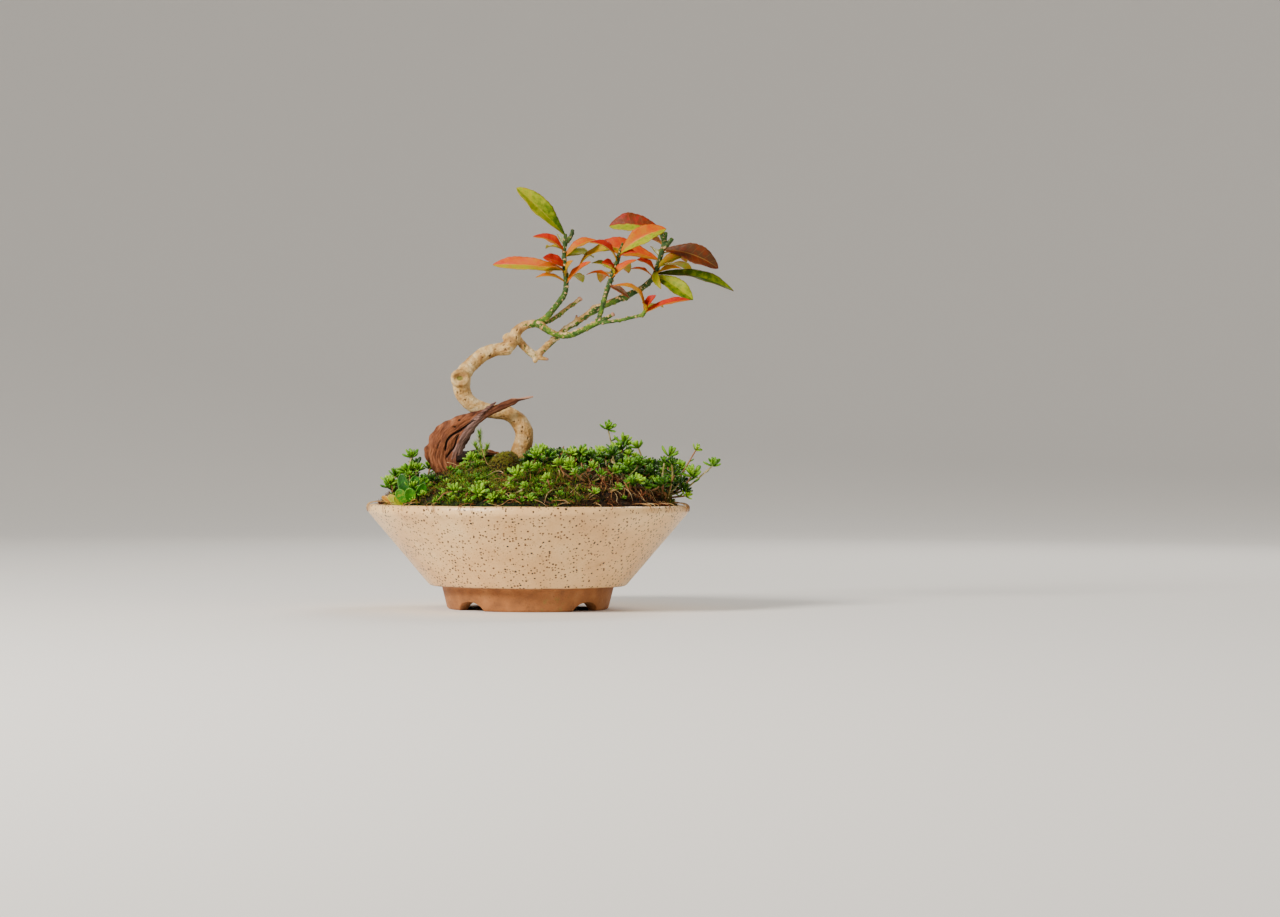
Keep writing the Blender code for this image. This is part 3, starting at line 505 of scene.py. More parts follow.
# %% Turn the bowl and cut its foot
section = split_long(rounded(SECTION), 3.0)
turns = np.arange(BOWL_SEGMENTS) * math.tau / BOWL_SEGMENTS
rings = np.array([[(p.x * math.cos(a), p.x * math.sin(a), p.y) for p in section] for a in turns])
heap = Heap()
heap.add(rings.reshape(-1, 3), grid_faces(BOWL_SEGMENTS, len(section), ring=True, loop=True))
bowl_mesh = heap.mesh("pot_bowl")
shape = bmesh.new()
shape.from_mesh(bowl_mesh)
bmesh.ops.recalc_face_normals(shape, faces=shape.faces)
shape.to_mesh(bowl_mesh)
shape.free()
arches = []
for k in range(4):
    bpy.ops.mesh.primitive_cylinder_add(vertices=40, radius=1.0, depth=1.0)
    arch = bpy.context.object
    squash = Matrix.Diagonal((NOTCH_HEIGHT, NOTCH_WIDTH / 2, NOTCH_DEPTH, 1.0))
    lie = Matrix.Rotation(math.radians(90), 4, "Y")
    out = Matrix.Translation((FOOT_MIDDLE, 0.0, NOTCH_Z))
    around = Matrix.Rotation(math.radians(45 + 90 * k + NOTCH_TURN), 4, "Z")
    arch.data.transform(Matrix.Scale(MM, 4) @ around @ out @ lie @ squash)
    arch.location = AXIS
    arches.append(arch)
cuts = [("BOOLEAN", {"operation": "DIFFERENCE", "object": arch}) for arch in arches]
bowl_mesh = modified(bowl_mesh, *cuts)
for arch in arches:
    bpy.data.objects.remove(arch)

# %% Soften the cut edges and let the wall waver
ARCH_EDGE = 0.6
ARCH_TOP = 7.5
SHARP_EDGE = math.radians(40)
WALL_WAVER = 0.16
WAVER_FROM = 15.0
shape = bmesh.new()
shape.from_mesh(bowl_mesh)
cut_edges = [
    edge
    for edge in shape.edges
    if len(edge.link_faces) == 2
    and edge.calc_face_angle() > SHARP_EDGE
    and max(v.co.z for v in edge.verts) < ARCH_TOP * MM
]
bmesh.ops.bevel(
    shape, geom=cut_edges, offset=ARCH_EDGE * MM, offset_type="OFFSET", segments=2, profile=0.5,
    affect="EDGES", clamp_overlap=True,
)
bmesh.ops.triangulate(shape, faces=[f for f in shape.faces if len(f.verts) > 4])
shape.to_mesh(bowl_mesh)
shape.free()
places, normals = points_of(bowl_mesh)
waver = noise_at(places, 0.055) + 0.5 * noise_at(places, 0.16)
above_foot = np.clip((places[:, 2] - WAVER_FROM) / 6.0, 0.0, 1.0)
move_points(bowl_mesh, places + normals * (WALL_WAVER * waver * above_foot)[:, None])
bowl_mesh.shade_smooth()
bowl_mesh.set_sharp_from_angle(angle=math.radians(50))

# %% [markdown]
# ## Speckled glaze
#
# The cream glaze is full of iron specks that burnt through in the kiln: most are small and brown, some
# are black, and a few have opened into pits. Specks are the middles of random cells, kept small, and each
# cell's own random numbers decide how big and how dark its speck is. The foot was wiped bare, so below a
# wavering line the clay is browner and dull.

# %% Speckled glaze


def speckled_glaze():
    f = Finish("speckled glaze", 0.4, Specular_IOR_Level=0.5, Coat_Weight=0.15, Coat_Roughness=0.22)
    sides = f.sides()
    glaze = f.ramp(f.noise(24, 4), [
        (0.3, (226, 176, 114)), (0.5, (240, 194, 132)), (0.72, (248, 208, 148)),
    ])
    smudge = f.range(f.noise(9, 5), 0.58, 0.74, 0.0, 0.3)
    glaze = f.mix(smudge, glaze, (170, 122, 74))
    uneven = f.shifted(0.7, 0.55)
    specks = f.cells(1.8, uneven)
    chance = f.split(specks.outputs["Color"])
    radius = f.range(chance[0], 0.15, 1.0, 0.09, 0.38)
    inside = f.minus(specks.outputs["Distance"], radius)
    speck = f.range(inside, -0.04, 0.02, 1.0, 0.0)
    iron = f.ramp(chance[1], [(0.25, (92, 54, 24)), (0.5, (44, 26, 14)), (0.75, (18, 12, 9))])
    halo = f.range(inside, 0.0, 0.16, 0.3, 0.0)
    glaze = f.mix(halo, glaze, (180, 128, 76))
    glaze = f.mix(speck, glaze, iron)
    pits = f.cells(11, uneven)
    pit = f.range(pits.outputs["Distance"], 0.06, 0.085, 1.0, 0.0)
    glaze = f.mix(pit, glaze, (28, 19, 14))
    clay = f.ramp(f.noise(11, 4), [
        (0.3, (132, 82, 40)), (0.52, (162, 102, 50)), (0.75, (182, 124, 70)),
    ])
    clay = f.mix(f.range(f.noise(2.2, 3), 0.62, 0.75, 0.0, 0.5), clay, (104, 66, 36))
    algae = f.range(f.noise(5, 3), 0.52, 0.66, 0.0, 0.45)
    on_front = f.times(f.range(sides["X"], -0.012, 0.0), f.range(sides["X"], 0.016, 0.004))
    on_front = f.times(on_front, f.range(sides["Y"], -0.03, -0.045))
    clay = f.mix(f.times(algae, on_front), clay, (122, 118, 46))
    line = f.plus(sides["Z"], f.times(f.noise(7, 2), 0.0012))
    glazed = f.range(line, (GLAZE_EDGE + 0.3) * MM, (GLAZE_EDGE + 0.8) * MM)
    base = f.mix(glazed, clay, glaze)
    seam = f.range(f.size(f.minus(line, (GLAZE_EDGE + 0.5) * MM)), 0.0, 0.9 * MM, 0.35, 0.0)
    base = f.mix(seam, base, (120, 76, 42))
    rough = f.plus(f.range(glazed, 0.0, 1.0, 0.75, 0.3), f.times(f.noise(3, 2), 0.1))
    peel = f.plus(f.noise(1.7, 2), f.times(f.noise(5.5, 2), 0.8))
    skin = f.bump(peel, 0.3)
    dents = f.plus(f.times(speck, -0.5), f.times(pit, -1.0))
    return f.done(base, rough, f.bump(dents, 0.25, skin))


piece("pot_bowl", bowl_mesh, speckled_glaze(), "glaze", "pot")

# %% [markdown]
# ## Routes and tubes
#
# Trunk, twigs, stems and roots are all tubes that follow a route and change their thickness on the way. A
# bevelled curve would do, but these tubes are joined and carved afterwards, so they are made as plain
# points: a ring for every step of a smooth route, and a pointed cap at each end.

# %% Routes and tubes


def smoothed(points, steps):
    """Points read from a smooth curve through a route's own points, thickness included."""
    p = np.asarray(points, float)
    ends = np.vstack([p[0], p, p[-1]])
    share = np.arange(steps)[:, None] / steps
    made = []
    for before, start, end, after in zip(ends, ends[1:], ends[2:], ends[3:]):
        made.append(
            0.5
            * (
                2 * start
                + (end - before) * share
                + (2 * before - 5 * start + 4 * end - after) * share**2
                + (3 * start - before - 3 * end + after) * share**3
            )
        )
    return np.vstack([*made, p[-1:]])


def end_faces(rows, sides):
    """Faces that close a stack of rings with one point before its first row and one after its last."""
    made = []
    for k in range(sides):
        n = (k + 1) % sides
        made.append((n, k, rows * sides))
        made.append(((rows - 1) * sides + k, (rows - 1) * sides + n, rows * sides + 1))
    return made


def tube(route, sides=8):
    """A closed tube through points of place and radius, with round caps."""
    route = np.asarray(route, float)
    lead = (route[0] - route[1])[:3]
    tail = (route[-1] - route[-2])[:3]
    lead = lead / np.linalg.norm(lead) * route[0, 3]
    tail = tail / np.linalg.norm(tail) * route[-1, 3]
    path = [np.append(route[0, :3] + lead * 0.35, route[0, 3] * 0.72), *route]
    path.append(np.append(route[-1, :3] + tail * 0.35, route[-1, 3] * 0.72))
    path = np.array(path)
    way = np.gradient(path[:, :3], axis=0)
    way /= np.linalg.norm(way, axis=1)[:, None]
    across = np.cross(way[0], (0.31, 0.47, 0.83))
    angles = np.arange(sides) * math.tau / sides
    points = []
    for place, forward in zip(path, way):
        across = across - forward * across.dot(forward)
        across /= np.linalg.norm(across)
        beside = np.cross(forward, across)
        ring = np.outer(np.cos(angles), across) + np.outer(np.sin(angles), beside)
        points.append(place[:3] + ring * place[3])
    count = len(path)
    points.append([route[0, :3] + lead * 0.5, route[-1, :3] + tail * 0.5])
    return np.vstack(points), grid_faces(count, sides, ring=True) + end_faces(count, sides)


def lengths(route):
    """How far along the route each of its points is."""
    steps = np.linalg.norm(np.diff(route[:, :3], axis=0), axis=1)
    return np.concatenate([[0.0], np.cumsum(steps)])


# %% [markdown]
# ## Trunk and branches
#
# The trunk grew as one piece: it rises, doubles back to the left, turns at an old pruning scar and climbs
# to the right, where it forks into green twigs. Separate tubes would show seams at each fork. So the tubes
# are melted together: a voxel remesh takes their common outside, and a little smoothing fills the forks as
# growing wood does. The lists give place and radius in millimetres, and the first point of a branch lies
# inside its parent.

# %% Trunk and branches, their routes
TRUNK = [
    (-7, 0, 70, 6.6), (-7, 0, 80, 6.9), (-6.2, 0, 90, 6.6), (-5, 0, 98.6, 6.1),
    (-2.9, 0.3, 106.6, 5.9), (-3.8, 0.8, 113, 5.6), (-8.6, 1.4, 119.4, 5.1), (-15.4, 2, 122.8, 4.8),
    (-23.4, 2.2, 123.6, 4.7), (-32.2, 1.6, 125.8, 4.8), (-38.6, 0.8, 130.5, 4.9),
    (-42.1, 0, 136.2, 5.2), (-42.1, -0.6, 142.6, 5.4), (-40.2, -0.8, 148.2, 4.9),
    (-34.5, -0.6, 154.5, 4.6), (-28.2, -0.3, 159.4, 4.5), (-20.9, 0, 162.1, 4.2),
    (-14.5, 0, 163.4, 4.4), (-10.2, 0, 168.2, 4), (-7.4, -0.3, 174.1, 3.3),
    (-1.8, -0.8, 177.7, 2.7), (6.1, -1.5, 179, 2.4),
]
# Each branch has its route, and how green it is at its start and end, from 0, old bark, to 1, green
BRANCHES = {
    "left_shoot": [(4.5, -1.4, 178.9, 2), (10.5, -1, 182.4, 2), (15.9, -0.6, 188.8, 1.9),
                   (21.4, -0.8, 196.2, 1.8), (22.6, -1, 200, 1.7)],
    "left_stub": [(5, 0.2, 178.4, 1.4), (13.5, 3.2, 181, 1.4), (23, 5, 188.2, 1.3),
                  (30.6, 5.9, 193.6, 1.2), (32.1, 6, 194.8, 1.7)],
    "middle": [(4.5, -2, 178.6, 2.2), (8.2, -3.6, 176.6, 2.2), (12.7, -4.6, 173.7, 2.1),
               (19.1, -5, 171.2, 2), (26.7, -5.4, 171.6, 2), (34.2, -5.6, 174.9, 1.8),
               (42.9, -5.8, 179.1, 1.7), (48, -6.4, 181.8, 1.4), (51.6, -6.9, 183.8, 1.2),
               (52.6, -7, 184.5, 1.6)],
    "middle_shoot": [(42.4, -5.7, 178.6, 1.4), (45.4, -5, 187.5, 1.5), (47.7, -4, 196.6, 1.6),
                     (49.2, -3.4, 201.2, 1.6)],
    "low_twig": [(43.2, -6.2, 178.9, 1), (50, -8.4, 179.6, 1.1), (58, -10.6, 180.8, 1.1),
                 (68.2, -12.4, 183.2, 1.1)],
    "right": [(-8.4, 0.8, 170.4, 2.6), (-5.4, 2.4, 166.6, 2.5), (-1.4, 4, 162.6, 2.4),
              (4.2, 5.4, 158.9, 2.6), (9.4, 7, 163.6, 2.1), (15.9, 8.8, 169.6, 2),
              (21.3, 10, 174.9, 1.9), (29.9, 11.4, 180.6, 2), (37.5, 12.6, 186, 2.1),
              (40.8, 13, 188.4, 2.9), (44.5, 13.5, 190.2, 2.2), (51.5, 14.2, 193.2, 2.1),
              (58, 15, 196, 2.2), (60.5, 15.2, 197.2, 2.8), (63.5, 15.6, 198.6, 2),
              (71, 16.2, 202.6, 1.8), (75.2, 16.6, 206.2, 1.7)],
    "elbow_stub": [(3.4, 5.4, 158.6, 2.2), (7.6, 4.6, 157.2, 1.5), (11.6, 4.2, 156.4, 0.9)],
    "elbow_heel": [(4.2, 5.4, 158.9, 2), (3.6, 4.6, 155.8, 1.7), (3.2, 4.2, 154.6, 1.1)],
    "spur": [(28, 11.2, 179.6, 1), (29, 11, 182.2, 0.9), (29.4, 10.8, 184.6, 0.7)],
    "pruning_collar": [(-41.8, 0, 142.6, 5), (-42.7, -3.4, 143.4, 5.8), (-42.9, -4.6, 143.7, 5.2)],
    "upper_lump": [(-10.6, 0, 166.6, 3.2), (-13.4, -0.5, 169.4, 3.3), (-14.5, -0.8, 170.8, 3)],
    "knee": [(-14.4, -0.4, 163, 4.2), (-13.2, -1.6, 161.4, 3.9), (-12.6, -2.2, 160.6, 2.6)],
    "fork_knob": [(6.3, -1.9, 178.2, 2.3), (8, -3.2, 177, 2.6), (8.6, -3.8, 176.2, 1.9)],
}
GREENNESS = {
    "trunk": (0.0, 0.0), "left_shoot": (0.9, 1.0), "left_stub": (0.9, 0.3), "middle": (0.75, 0.9),
    "middle_shoot": (1.0, 1.0), "low_twig": (1.0, 1.0), "right": (0.12, 0.95), "elbow_stub": (0.1, 0.0),
    "elbow_heel": (0.1, 0.0), "spur": (0.1, 0.0), "pruning_collar": (0.0, 0.0), "upper_lump": (0.0, 0.0),
    "knee": (0.0, 0.0), "fork_knob": (0.1, 0.1),
}
TRUNK_TURNS_GREEN = 0.92
CUT_ENDS = ("left_stub", "middle", "elbow_stub", "spur")
SCAR_AT = (-43.1, 143.9)
SCAR_RING = 4.3
SCAR_LIP = 1.7
SCAR_Y = -5.6
SCAR_HOLLOW = (2.7, 1.95)
SCAR_DEPTH = 1.5
# Dark pits and small cracks seen on the front of the trunk: x, z and radius
PITS = [
    (-14.6, 161.1, 1.0), (-23.9, 157.3, 0.8), (-20.6, 163.1, 0.6), (-16.3, 165.9, 0.6),
    (-8.1, 174.9, 0.7), (-45.5, 134.9, 0.8), (-43.0, 135.1, 0.6), (-39.1, 129.7, 0.7),
    (-9.9, 116.3, 0.7), (-4.4, 114.1, 0.7), (-4.9, 111.1, 0.6), (-16.2, 119.1, 0.6),
    (-17.4, 119.6, 0.5), (0.8, 107.2, 0.8), (-2.9, 101.1, 0.7), (-30.5, 160.4, 0.5),
    (-6.6, 169.4, 0.6), (-12.0, 168.0, 0.5), (-35.0, 153.0, 0.4), (-6.6, 118.6, 0.5),
]
RANDOM_PITS = 9

# %% [markdown]
# The remeshed wood is then worked like clay. Each point looks up the nearest point of a route, so it knows
# which branch it is on, how far along and how green. From that come the swellings and corky rings of the
# twigs, the wrinkles of the trunk, the raised leaf scars and the sunken pits. The same numbers are
# stored on the points, so that the colour follows the relief.

# %% Melt tubes together and carve them
TRUNK_VOXEL = 0.42
TWIG_VOXEL = 0.3
KNOT_SPACING = (1.7, 3.8)
RING_SPACING = 3.1
CREASE_SPACING = 5.2
SUNNY_BARK = 0.68
# Up to this radius wood counts as a twig, from this one as old, and so far a cut end reaches
TWIG_RADIUS = 2.6
OLD_RADIUS = 3.0
CUT_LENGTH = 2.4
# How high or deep each kind of relief is
BUMP_HEIGHT = 0.42
WRINKLE_HEIGHT = 0.16
GRAIN_HEIGHT = 0.08
RING_HEIGHT = 0.3
KNOT_HEIGHT = 0.65
KNOT_REACH = 0.85
PIT_DEPTH = 0.6
PIT_RIM_HEIGHT = 0.25
CREASE_DEPTH = 0.22


def melted(name, shapes, voxel):
    """The common outside of overlapping closed tubes, as one smooth mesh."""
    heap = Heap()
    for points, faces in shapes:
        heap.add(points, faces)
    melt = {"mode": "VOXEL", "voxel_size": voxel * MM, "use_smooth_shade": True}
    return modified(heap.mesh(name), ("REMESH", melt), ("SMOOTH", {"factor": 0.6, "iterations": 5}))


def nearest(places, targets):
    """For each place, the index of the nearest target and how far it is."""
    tree = kdtree.KDTree(len(targets))
    for k, target in enumerate(targets):
        tree.insert(target, k)
    tree.balance()
    found = [tree.find(place)[1:] for place in places]
    return np.array([k for k, _ in found]), np.array([d for _, d in found])


def front_of(mesh, x, z):
    """The point of the mesh that shows at x and z when it is seen from the front."""
    places, _ = points_of(mesh)
    near = np.hypot(places[:, 0] - x, places[:, 2] - z) < 1.0
    if not near.any():
        return None
    return places[near][np.argmin(places[near][:, 1])]


def carved_wood(name, routes, greenness, voxel, seed, extra=(), pits=(), random_pits=0):
    """Wood melted from its routes, with rings, wrinkles, knots and pits worked into it."""
    draw = random.Random(seed)
    fine = {key: smoothed(route, 6) for key, route in routes.items()}
    mesh = melted(name, [tube(route, 14) for route in fine.values()] + list(extra), voxel)
    places, normals = points_of(mesh)
    samples = []
    for key, route in fine.items():
        along = lengths(route)
        share = along / along[-1]
        green = greenness[key][0] + (greenness[key][1] - greenness[key][0]) * share
        if key == "trunk":
            green = np.clip((share - TRUNK_TURNS_GREEN) / (1 - TRUNK_TURNS_GREEN), 0, 1) * 0.9
        end = np.clip(1 - (along[-1] - along) / CUT_LENGTH, 0, 1) * (key in CUT_ENDS)
        samples.extend(zip(route, along, green, end))
    index, _ = nearest(places, [row[0][:3] for row in samples])
    along = np.array([row[1] for row in samples])[index]
    radius = np.array([row[0][3] for row in samples])[index]
    green = np.array([row[2] for row in samples])[index]
    cut_end = np.array([row[3] for row in samples])[index]
    bumps = noise_at(places, 0.17)
    wrinkle = noise_at(places * (0.35, 0.35, 1.1))
    fine_grain = noise_at(places, 1.3)
    ring = np.clip(np.sin(along * math.tau / RING_SPACING + bumps * 5.0), 0.5, 1.0) - 0.5
    wrinkle += 0.5 * noise_at(np.column_stack([along * 1.1, bumps * 2.0, np.full(len(along), 7.0)]))
    height = bumps * BUMP_HEIGHT * (1 - green) * np.clip(radius / 4, 0.3, 1)
    height += wrinkle * WRINKLE_HEIGHT * (1 - 0.5 * green) + fine_grain * GRAIN_HEIGHT
    height += ring * RING_HEIGHT * np.clip(green * 1.6, 0, 1) * (radius < TWIG_RADIUS)
    knots = []
    for key, route in fine.items():
        twig = route[:, 3].mean() < TWIG_RADIUS and greenness[key][1] > 0.25
        distance = draw.uniform(*KNOT_SPACING)
        while twig and distance < lengths(route)[-1] - 1.0:
            k = min(int(np.searchsorted(lengths(route), distance)), len(route) - 2)
            way = Vector(route[k + 1, :3] - route[k, :3]).normalized()
            side = way.orthogonal().normalized()
            side.rotate(Matrix.Rotation(draw.uniform(0, math.tau), 3, way))
            knots.append(Vector(route[k, :3]) + side * route[k, 3])
            distance += draw.uniform(*KNOT_SPACING)
    sunny = np.clip(normals[:, 2], 0, 1) * SUNNY_BARK
    green = green - sunny * (radius < 3.5)
    cork = ring * np.clip(0.9 + 1.6 * wrinkle, 0.2, 1.3)
    if knots:
        _, distance = nearest(places, knots)
        swelling = np.exp(-((distance / KNOT_REACH) ** 2))
        height += swelling * KNOT_HEIGHT
        cork = np.maximum(cork, swelling)
    hollows = [front_of(mesh, x, z) for x, z, _ in pits]
    pit_radius = [p[2] for p, hollow in zip(pits, hollows) if hollow is not None]
    hollows = [hollow for hollow in hollows if hollow is not None]
    old = np.flatnonzero((green < 0.1) & (radius > OLD_RADIUS))
    for _ in range(random_pits):
        hollows.append(places[old[draw.randrange(len(old))]])
        pit_radius.append(draw.uniform(0.35, 0.65))
    # Pits and creases get a darkness: painted shade in these hollows, with the pits' own dark colour in
    # part.
    dark = np.zeros(len(places))
    if hollows:
        index, distance = nearest(places, hollows)
        reach = distance / np.array(pit_radius)[index] * (1.0 + 1.1 * fine_grain)
        dark = np.exp(-(reach**2))
        height += PIT_RIM_HEIGHT * np.exp(-((reach - 1.6) ** 2) * 2) - dark * PIT_DEPTH
    crease = np.sin(along * math.tau / CREASE_SPACING + bumps * 7 + wrinkle * 2)
    crease = np.clip((crease - 0.93) * 20, 0, 1)
    crease *= np.clip(wrinkle * 3 + 0.3, 0, 1) * (radius > OLD_RADIUS)
    height -= crease * CREASE_DEPTH
    # Painted shade in the creases.
    dark = np.maximum(dark, crease * 0.55)
    move_points(mesh, places + normals * height[:, None])
    kept = {"green": green, "cork": cork, "dark": dark, "cut": cut_end, "along": along, "radius": radius}
    for key, values in kept.items():
        carry(mesh, key, values)
    mesh.shade_smooth()
    return mesh


# %% [markdown]
# ## Bark that turns from tan to green
#
# Old bark is pale tan with yellowish clouds. On the twigs the bark is still green, and pale cork breaks
# through it in rings and flecks. The points already carry how green and how corky they are, so the
# material only breaks those borders up with noise, which keeps them from looking painted.

# %% Bark that turns from tan to green


def bark_finish():
    f = Finish("pale bark", 0.6, Specular_IOR_Level=0.35)
    clouds = f.ramp(
        f.noise(6, 5),
        [(0.3, (142, 100, 50)), (0.43, (182, 140, 80)), (0.54, (208, 172, 112)),
         (0.7, (226, 202, 154))],
    )
    rings = f.noise(2.6, 5, f.along("radius", "along", 2.2))
    clouds = f.mix(f.range(rings, 0.52, 0.66, 0.0, 0.6), clouds, (150, 108, 56))
    clouds = f.mix(f.range(f.noise(3.4, 4), 0.56, 0.68, 0.0, 0.6), clouds, (178, 134, 56))
    flecks = f.cells(1.5, f.shifted(0.8, 0.5))
    fleck = f.range(flecks.outputs["Distance"], 0.14, 0.24, 0.75, 0.0)
    clouds = f.mix(f.times(fleck, f.range(f.noise(4, 2), 0.44, 0.56)), clouds, (108, 70, 34))
    low = f.times(f.range(f.sides()["Z"], 0.13, 0.108), f.range(f.noise(5, 4), 0.35, 0.65, 0.25, 0.7))
    clouds = f.mix(low, clouds, (152, 106, 48))
    skin = f.ramp(f.noise(5, 4), [(0.32, (28, 52, 8)), (0.5, (60, 98, 14)), (0.68, (114, 140, 30))])
    skin = f.mix(f.range(f.sides()["Z"], 0.186, 0.206, 0.0, 0.75), skin, (24, 56, 14))
    cork = f.plus(f.carried("cork"), f.range(f.noise(1.1, 4), 0.4, 0.72, -0.35, 0.5))
    skin = f.mix(f.range(cork, 0.4, 0.62), skin, (188, 154, 104))
    tiny = f.cells(1.3, f.shifted(0.8, 0.5))
    skin = f.mix(f.range(tiny.outputs["Distance"], 0.12, 0.2, 0.8, 0.0), skin, (190, 166, 118))
    young = f.plus(f.carried("green"), f.waver(2.0, 4, -0.3, 0.3))
    base = f.mix(f.range(young, 0.32, 0.46), clouds, skin)
    base = f.mix(f.range(f.carried("scar"), 0.3, 0.75), base, (112, 104, 34))
    # Painted shade darkens the pits and creases, with the pits' own dark colour in part.
    base = f.mix(f.range(f.carried("dark"), 0.2, 0.85, 0.0, 0.85), base, (66, 38, 18))
    base = f.mix(f.range(f.carried("cut"), 0.3, 0.7), base, (176, 128, 100))
    grain = f.plus(f.noise(0.6, 4), f.times(f.noise(1.8, 3), 1.2))
    return f.done(base, f.waver(3, 3, 0.55, 0.8), f.bump(grain, 0.45))


pale_bark = bark_finish()

# %% Make the trunk
ring_turns = np.arange(29) * math.tau / 26
scar_lip = []
for a in ring_turns:
    x, z = SCAR_AT[0] + SCAR_RING * 1.04 * math.cos(a), SCAR_AT[1] + SCAR_RING * 0.94 * math.sin(a)
    scar_lip.append((x, SCAR_Y + 0.5 * math.cos(a), z, SCAR_LIP))
routes = {"trunk": TRUNK, **BRANCHES}
lip = [tube(scar_lip, 10)]
trunk_mesh = carved_wood("trunk_wood", routes, GREENNESS, TRUNK_VOXEL, 11, lip, PITS, RANDOM_PITS)
places, _ = points_of(trunk_mesh)
oval = np.hypot(*[(places[:, i] - SCAR_AT[k]) / SCAR_HOLLOW[k] for k, i in enumerate((0, 2))])
facing = (places[:, 1] < -2.5) & (oval < 1.25)
scar = np.where(facing, np.clip(1.3 - oval, 0, 1), 0.0)
places[:, 1] += np.where(facing, SCAR_DEPTH * np.clip(1 - oval**2, 0, 1), 0.0)
move_points(trunk_mesh, places)
carry(trunk_mesh, "scar", scar)
piece("trunk_wood", trunk_mesh, pale_bark, "pale_bark", "trunk")

# %% [markdown]
# ## Leaves
#
# The leaves are small, pointed and finely toothed, folded along the midrib and arched to the tip. Their
# colour runs from green through yellow and orange to red and brown, as a leaf in autumn does, so one
# number, the ripeness, picks it. Each leaf has three: one at its base, one at its tip, and one for the
# half of the blade beyond the midrib, which often turns later. Each leaf is a grid of points bent by
# these rules and then given its thickness.

